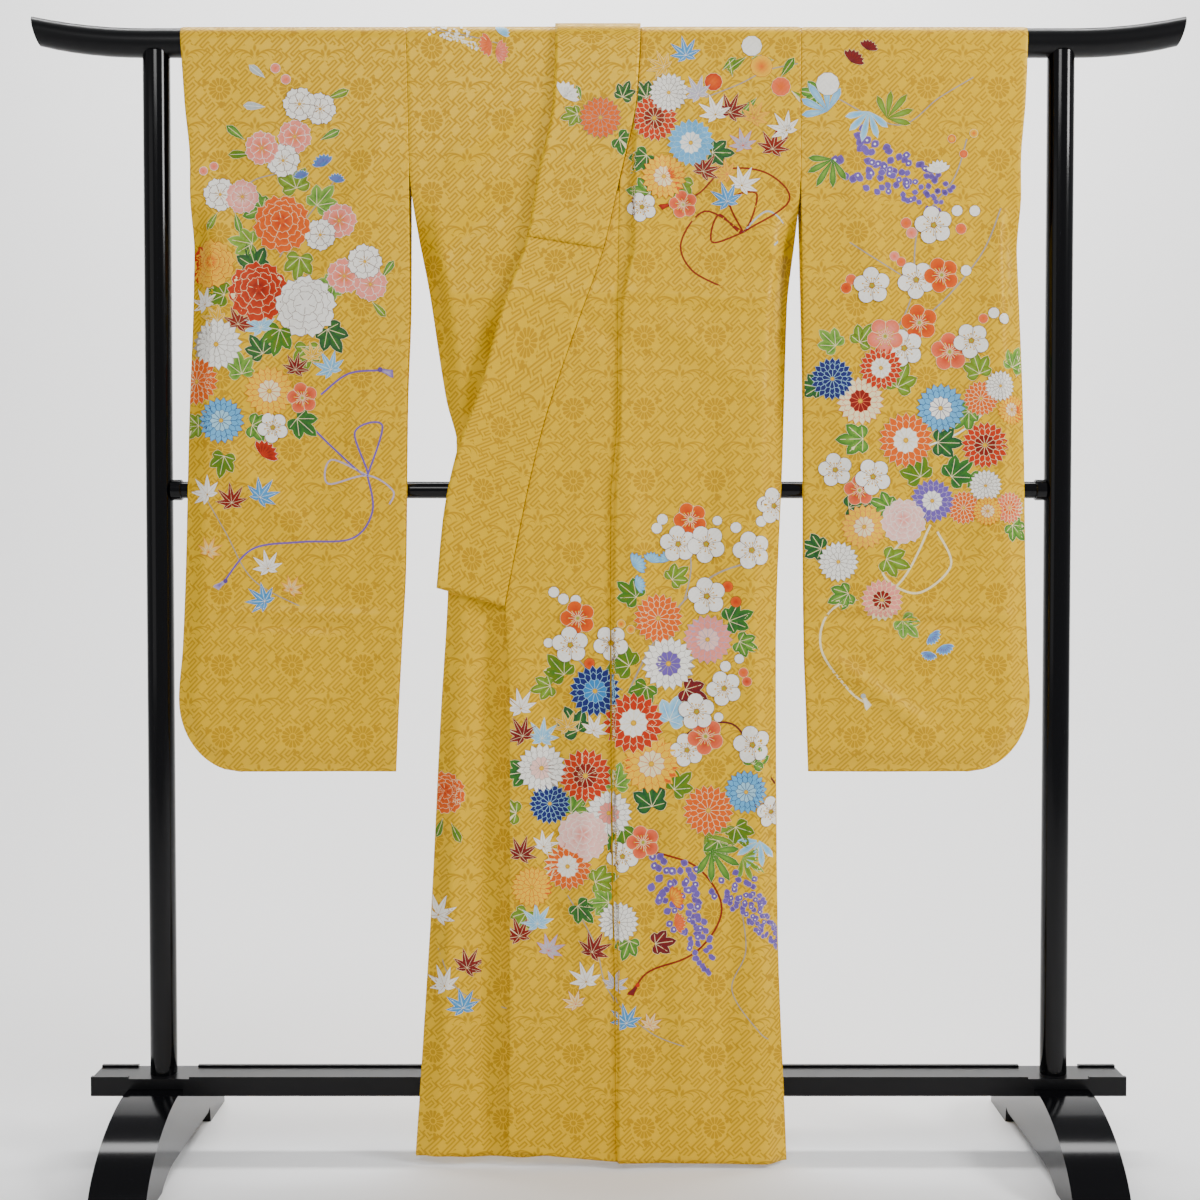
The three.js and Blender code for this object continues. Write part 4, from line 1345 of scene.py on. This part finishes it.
        ("leaf", 30, 735, 36, "olive", "green", "cream", 1.0),
        ("leaf", 55, 705, 30, "green", "olive", "cream", 2.6),
        ("leaf", 112, 700, 30, "wine", "crimson", "cream", -2.0),
        ("leaf", 88, 655, 34, "ice", "sky", "white", -0.4),
        ("leaf", -45, 640, 34, "dark", "green", "cream", 0.5),
        ("leaf", -120, 580, 30, "green", "dark", "cream", 1.7),
        ("leaf", -135, 520, 28, "olive", "light", "cream", 1.4),
        ("leaf", -55, 520, 30, "green", "light", "cream", -0.7),
        ("leaf", 10, 560, 30, "light", "green", "cream", -0.2),
        ("leaf", 95, 555, 30, "olive", "green", "cream", -0.8),
        ("leaf", 63, 530, 36, "dark", "green", "cream", 0.2),
        ("leaf", 20, 500, 34, "green", "olive", "cream", 2.6),
        ("leaf", 210, 592, 28, "green", "light", "cream", -0.5),
        ("leaf", 185, 500, 30, "olive", "green", "cream", -2.6),
        ("leaf", 160, 480, 28, "green", "light", "cream", 2.9),
        ("leaf", -20, 420, 30, "olive", "light", "cream", -1.3),
        ("leaf", -45, 385, 28, "green", "dark", "cream", -2.4),
        ("leaf", -120, 375, 26, "olive", "light", "cream", 2.6),
        ("leaf", 0, 390, 28, "light", "green", "cream", 1.6),
        ("leaf", 30, 335, 26, "green", "light", "cream", 2.8),
        ("leaf", 68, 330, 26, "wine", "crimson", "cream", -1.4),
        ("blades", 140, 490, 46, "olive", "light", "cream", -1.9),
        ("blades", 150, 465, 52, "green", "light", "cream", -2.6),
        ("blades", 220, 480, 44, "ice", "sky", "white", 2.7),
        ("blades", 195, 455, 40, "light", "olive", "cream", -2.2),
        ("wisteria", 88, 470, 150, "violet", "purple", "lilac", 3.4),
        ("wisteria", 84, 440, 165, "violet", "violet", "lilac", 3.55),
        ("wisteria", 165, 430, 130, "violet", "purple", "lilac", -2.45),
        ("wisteria", 185, 420, 120, "violet", "violet", "lilac", -2.55),
        ("half", 90, 395, 20, "orange", "yellow", "red", -1.2),
        ("half", 95, 360, 18, "orange", "coral", "cream", -1.4),
        ("maple", -128, 672, 28, "white", "white", "gold", 0.2),
        ("maple", -125, 632, 28, "crimson", "wine", "cream", 0.5),
        ("maple", -97, 628, 28, "ice", "sky", "white", -0.1),
        ("maple", -60, 645, 24, "yellow", "gold", "cream", 0.3),
        ("maple", -22, 640, 24, "white", "white", "gold", -0.4),
        ("maple", -128, 458, 27, "crimson", "wine", "cream", -0.3),
        ("maple", -95, 470, 24, "white", "white", "gold", -0.6),
        ("maple", -104, 358, 28, "ice", "sky", "white", 0.1),
        ("maple", -130, 340, 27, "crimson", "crimson", "cream", 0.3),
        ("maple", -88, 318, 25, "lilac", "mist", "coral", -0.5),
        ("maple", -24, 318, 29, "crimson", "wine", "cream", -0.5),
        ("maple", -33, 274, 28, "white", "white", "gold", 0.3),
        ("maple", 8, 268, 22, "lilac", "mist", "white", -0.3),
        ("maple", -48, 240, 20, "cream", "yellow", "coral", 0.5),
        ("maple", 26, 214, 27, "blue", "sky", "white", 0.2),
        ("maple", 60, 210, 18, "cream", "yellow", "coral", -0.4),
        ("chrysanthemum", 72, 804, 34, "orange", "orange", "cream", 0.2),
        ("chrysanthemum", 144, 773, 34, "pink", "blush", "lilac", 0.1),
        ("chrysanthemum", 87, 738, 37, "white", "violet", "grey", 0.3),
        ("chrysanthemum", -20, 698, 35, "navy", "blue", "ice", 0.2),
        ("plum", 168, 702, 25, "white", "white", "brown", 0.4),
        ("bud", 170, 734, 8, "white", "white", "brown", 0),
        ("bud", 196, 725, 7, "coral", "orange", "cream", 0),
        ("bud", 201, 712, 7, "coral", "red", "cream", 0),
        ("bud", 190, 745, 7, "white", "white", "brown", 0),
        ("plum", 128, 668, 26, "white", "white", "brown", 0.1),
        ("plum", 114, 612, 24, "white", "white", "brown", 0.3),
        ("plum", 141, 632, 26, "coral", "red", "cream", 0.5),
        ("bud", 160, 660, 7, "white", "white", "brown", 0),
        ("plum", 209, 620, 27, "white", "white", "brown", 0.2),
        ("chrysanthemum", 36, 652, 42, "red", "white", "cream", 0.1),
        ("chrysanthemum", -98, 585, 34, "white", "blush", "grey", 0.2),
        ("chrysanthemum", 62, 592, 40, "yellow", "cream", "orange", 0.3),
        ("chrysanthemum", -34, 575, 37, "red", "crimson", "cream", 0.1),
        ("chrysanthemum", -86, 533, 28, "navy", "navy", "ice", 0.4),
        ("chrysanthemum", 200, 551, 30, "sky", "ice", "navy", 0.2),
        ("chrysanthemum", 145, 524, 35, "orange", "orange", "cream", 0.3),
        ("plum", 238, 520, 22, "white", "white", "brown", 0.1),
        ("chrysanthemum", 0, 520, 32, "white", "pink", "grey", 0.2),
        ("peony", -38, 486, 34, "blush", "pink", "white", 0.4),
        ("plum", 50, 478, 24, "coral", "red", "cream", 0.3),
        ("plum", 20, 458, 23, "white", "white", "brown", 0.6),
        ("chrysanthemum", -60, 442, 33, "orange", "white", "cream", 0.2),
        ("chrysanthemum", -112, 412, 28, "yellow", "yellow", "orange", 0.1),
        ("chrysanthemum", 14, 362, 28, "white", "white", "grey", 0.3),
        ("tassel", 42, 270, 20, "crimson", "wine", "red", 2.5),
    ],
    "underHem": [
        ("peony", -240, 548, 28, "orange", "red", "cream", 0.3),
        ("single", -243, 510, 26, "green", "olive", "cream", 2.8),
        ("single", -230, 505, 28, "olive", "green", "cream", -2.7),
        ("maple", -250, 368, 30, "white", "white", "gold", -0.4),
        ("maple", -207, 292, 28, "crimson", "wine", "cream", -0.5),
        ("maple", -240, 266, 29, "white", "white", "gold", 0.4),
        ("maple", -213, 232, 28, "blue", "sky", "white", 0.2),
    ],
}
layersOf = {"leaf": 2, "single": 2, "blades": 2, "wisteria": 3, "maple": 6, "half": 6, "bud": 6, "tassel": 6}


# The over-collar as a panel by levels, for what is dyed on it.
def wayAt(level):
    low, high = 4.5, 9
    for _ in range(22):
        middle = (low + high) / 2
        if leftStrip.seamLevel(middle) < level:
            low = middle
        else:
            high = middle
    return low


def edgesLapel(level, face):
    way = wayAt(level)
    return leftStrip.freeX(way), leftStrip.seamX(way)


def lapelDepth(x, level):
    way = wayAt(level)
    low, high = edgesLapel(level, front)
    return collarDepth((x - low) / (high - low), way, overCollarOut)(x, level)


panels["over_collar"] = dict(edges=edgesLapel, depth={front: lapelDepth}, rise=(0, 0), start=1300)
# The areas dyed on each panel's front, then those on its back, which can't be seen in the
# photo: every second motif of the front, mirrored.
areas = [
    ("body_left", front, ["chest", "skirt"]), ("okumi_left", front, ["skirt"]),
    ("body_right", front, ["underHem", "shoulder"]), ("sleeve_left", front, ["leftSleeve"]),
    ("sleeve_right", front, ["rightSleeve"]), ("over_collar", front, ["lapel"]),
    ("body_left", back, ["skirt"]), ("body_right", back, ["skirt"]),
    ("sleeve_left", back, ["rightSleeve"]), ("sleeve_right", back, ["leftSleeve"]),
]
sizes = {"leaf": 1.2, "maple": 1.12, "single": 1.15, "chrysanthemum": 1.06, "peony": 1.08, "plum": 1.05}
films = {}
for name, side, areaNames in areas:
    film = Film(panels[name], side)
    for areaName in areaNames:
        if side == front:
            for dye, width, places in threads[areaName]:
                film.layer = 0
                line(film, route(places), width, dye)
        for index, (kind, x, level, size, outer, inner, edge, turn) in enumerate(motifs[areaName]):
            if side == back and (index % 2 or level > 1640):
                continue
            at = (x * -side, level)
            film.layer = layersOf.get(kind, 11 + index % 3 * 5) + index % 2 * 0.5
            kinds[kind](film, at, size * sizes.get(kind, 1), outer, inner, edge, turn * -side)
    made = film.finish(name + ("_flowers" if side == front else "_back_flowers"))
    films.setdefault(name, []).append(made)
    print(made.name, len(made.data.polygons))
print("flowers made")

for name, panel in panels.items():
    if "cut" not in panel:
        continue
    width, length = panel["cut"]
    details = {"area": panel["area"]} if "area" in panel else {}

# The stand: smooth pieces on the CAD's sizes.
def standPiece(name, build, material):
    bmesh.ops.recalc_face_normals(build, faces=build.faces)
    for vertex in build.verts:
        vertex.co *= metre
    for face in build.faces:
        face.smooth = True
    mesh = bpy.data.meshes.new(name + "_shown")
    build.to_mesh(mesh)
    build.free()
    mesh.set_sharp_from_angle(angle=math.radians(32))
    piece = finished(name + "_shown", mesh, material)
    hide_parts(name)
    return piece


def softened(build, width, sharper=30):
    rims = [edge for edge in build.edges if len(edge.link_faces) == 2
            and edge.calc_face_angle() > math.radians(sharper)]
    bmesh.ops.bevel(
        build, geom=rims, offset=width, offset_type="OFFSET", segments=3, profile=0.5,
        affect="EDGES", material=-1, clamp_overlap=True,
    )


# A closed tube through rings of points with the same count.
def tube(rings):
    build = bmesh.new()
    made = [[build.verts.new(point) for point in ring] for ring in rings]
    count = len(rings[0])
    for i in range(len(made) - 1):
        for k in range(count):
            n = (k + 1) % count
            build.faces.new((made[i][k], made[i][n], made[i + 1][n], made[i + 1][k]))
    build.faces.new(made[0])
    build.faces.new(list(reversed(made[-1])))
    return build


bar = SimpleNamespace(radius=21, reach=845, straight=680, rise=17)
rings = []
for k in range(61):
    x = mix(-bar.reach, bar.reach, k / 60)
    bent = clamp((abs(x) - bar.straight) / (bar.reach - bar.straight))
    slant = math.copysign(1, x) * bent ** 3 * 0.25
    ring = []
    for n in range(48):
        y, up = bar.radius * math.cos(n * math.pi / 24), bar.radius * math.sin(n * math.pi / 24)
        ring.append((x + slant * (up - bar.radius), y, barZ + bar.rise * bent ** 2 + up))
    rings.append(ring)
build = tube(rings)
softened(build, 1.6, 50)
standPiece("top_bar", build, satin)


def rod(along, start, end, radius, at):
    rings = []
    for place in (start, end):
        ring = []
        for n in range(64):
            a, b = radius * math.cos(n * math.pi / 32), radius * math.sin(n * math.pi / 32)
            ring.append((place, at[1] + a, at[2] + b) if along == "x" else (at[0] + a, at[1] + b, place))
        rings.append(ring)
    return rings


post = SimpleNamespace(x=664, radius=19.8, bottom=123.5)
for name, x in (("post_right", -post.x), ("post_left", post.x)):
    standPiece(name, tube(rod("z", post.bottom, barZ - 14, post.radius, (x, 0, 0))), gloss)

half, start = post.x - post.radius * 0.9, post.x - post.radius - 14
stations = ((-half, 14.3), (1.2 - half, 15.5), (-start - 1.2, 15.5), (-start, 14.3), (-start, 12.5),
            (start, 12.5), (start, 14.3), (start + 1.2, 15.5), (half - 1.2, 15.5), (half, 14.3))
rings = [rod("x", x, x, radius, (0, 0, 992))[0] for x, radius in stations]
standPiece("crossbar", tube(rings), gloss)

foot = SimpleNamespace(x=668, halfWidth=40, halfLength=250, height=108, notch=10.6, shoulder=55, rail=33.3)


def crown(t):
    angle = t * math.pi / 2
    y = foot.shoulder + (foot.halfLength - foot.shoulder) * math.sin(angle) ** 1.2
    return y, foot.height * math.cos(angle) ** 1.15


rise = [crown(0.97 * (1 - k / 22)) for k in range(23)]
notch = [(-foot.rail, foot.height), (-foot.rail, foot.height - foot.notch),
         (foot.rail, foot.height - foot.notch), (foot.rail, foot.height)]
hollow = [(148, 0), (143, 25), (130, 20), (-90, 20), (-112, 18), (-134, 12), (-150, 6), (-160, 0)]
side = ([(-foot.halfLength, 0)] + [(-y, z) for y, z in rise] + notch
        + [(y, z) for y, z in reversed(rise)] + [(foot.halfLength, 0)] + hollow)
for name, x in (("foot_right", -foot.x), ("foot_left", foot.x)):
    rings = [[(x + sign * foot.halfWidth, y, z) for y, z in side] for sign in (-1, 1)]
    build = tube(rings)
    softened(build, 2.2, 40)
    standPiece(name, build, gloss)

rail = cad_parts["base_rail"]
for place in rail.material_slots:
    place.material = satin
edge = rail.modifiers.new("edge", "BEVEL")
edge.width, edge.segments = 0.0012, 2
print("stand done")

# The floor and its curved backdrop, the light and the camera.
build = bmesh.new()
bmesh.ops.create_grid(build, x_segments=1, y_segments=40, size=1)
for vertex in build.verts:
    along = (vertex.co.y + 1) / 2
    run = along * 9
    x = vertex.co.x * 6
    if run < 4.6:
        vertex.co = (x, -3.4 + run, 0)
    else:
        turn = min((run - 4.6) / 1.6, math.pi / 2)
        rest = max(0, run - 4.6 - 1.6 * math.pi / 2)
        vertex.co = (x, 1.2 + 1.6 * math.sin(turn), 1.6 * (1 - math.cos(turn)) + rest)
for face in build.faces:
    face.smooth = True
mesh = bpy.data.meshes.new("floor")
build.to_mesh(mesh)
build.free()
floor = bpy.data.objects.new("floor", mesh)
bpy.context.scene.collection.objects.link(floor)
mesh.materials.append(plainMaterial("paper", (0.9, 0.9, 0.9), 0.8))


def areaLight(name, at, towards, size, power, colour=(1, 1, 1)):
    lamp = bpy.data.lights.new(name, "AREA")
    lamp.shape = "RECTANGLE"
    lamp.size, lamp.size_y = size
    lamp.energy = power
    lamp.color = colour
    holder = bpy.data.objects.new(name, lamp)
    holder.location = at
    holder.rotation_euler = (Vector(towards) - Vector(at)).to_track_quat("-Z", "Y").to_euler()
    bpy.context.scene.collection.objects.link(holder)


areaLight("key", (3.0, -1.6, 2.6), (0, 0, 1.0), (1.0, 1.0), 105)
areaLight("sheen", (-0.5, -3.3, 2.9), (0, 0, 1.2), (1.4, 1.0), 52)
areaLight("fill", (-2.8, -2.6, 1.4), (0, 0, 0.8), (2.0, 2.0), 10)
areaLight("back", (0, 0.7, 3.4), (0, 2.8, 1.0), (3.6, 0.8), 190)
world = bpy.data.worlds.new("pale")
world.use_nodes = True
world.node_tree.nodes["Background"].inputs["Color"].default_value = (0.95, 0.96, 1, 1)
world.node_tree.nodes["Background"].inputs["Strength"].default_value = 0.42
bpy.context.scene.world = world

lens = bpy.data.cameras.new("camera")
lens.lens = 52.41
lens.sensor_width = 36
camera = bpy.data.objects.new("camera", lens)
camera.location = (-0.0127, -2.588, 0.906)
camera.rotation_euler = (math.radians(88.3), 0, 0)
bpy.context.scene.collection.objects.link(camera)
bpy.context.scene.camera = camera
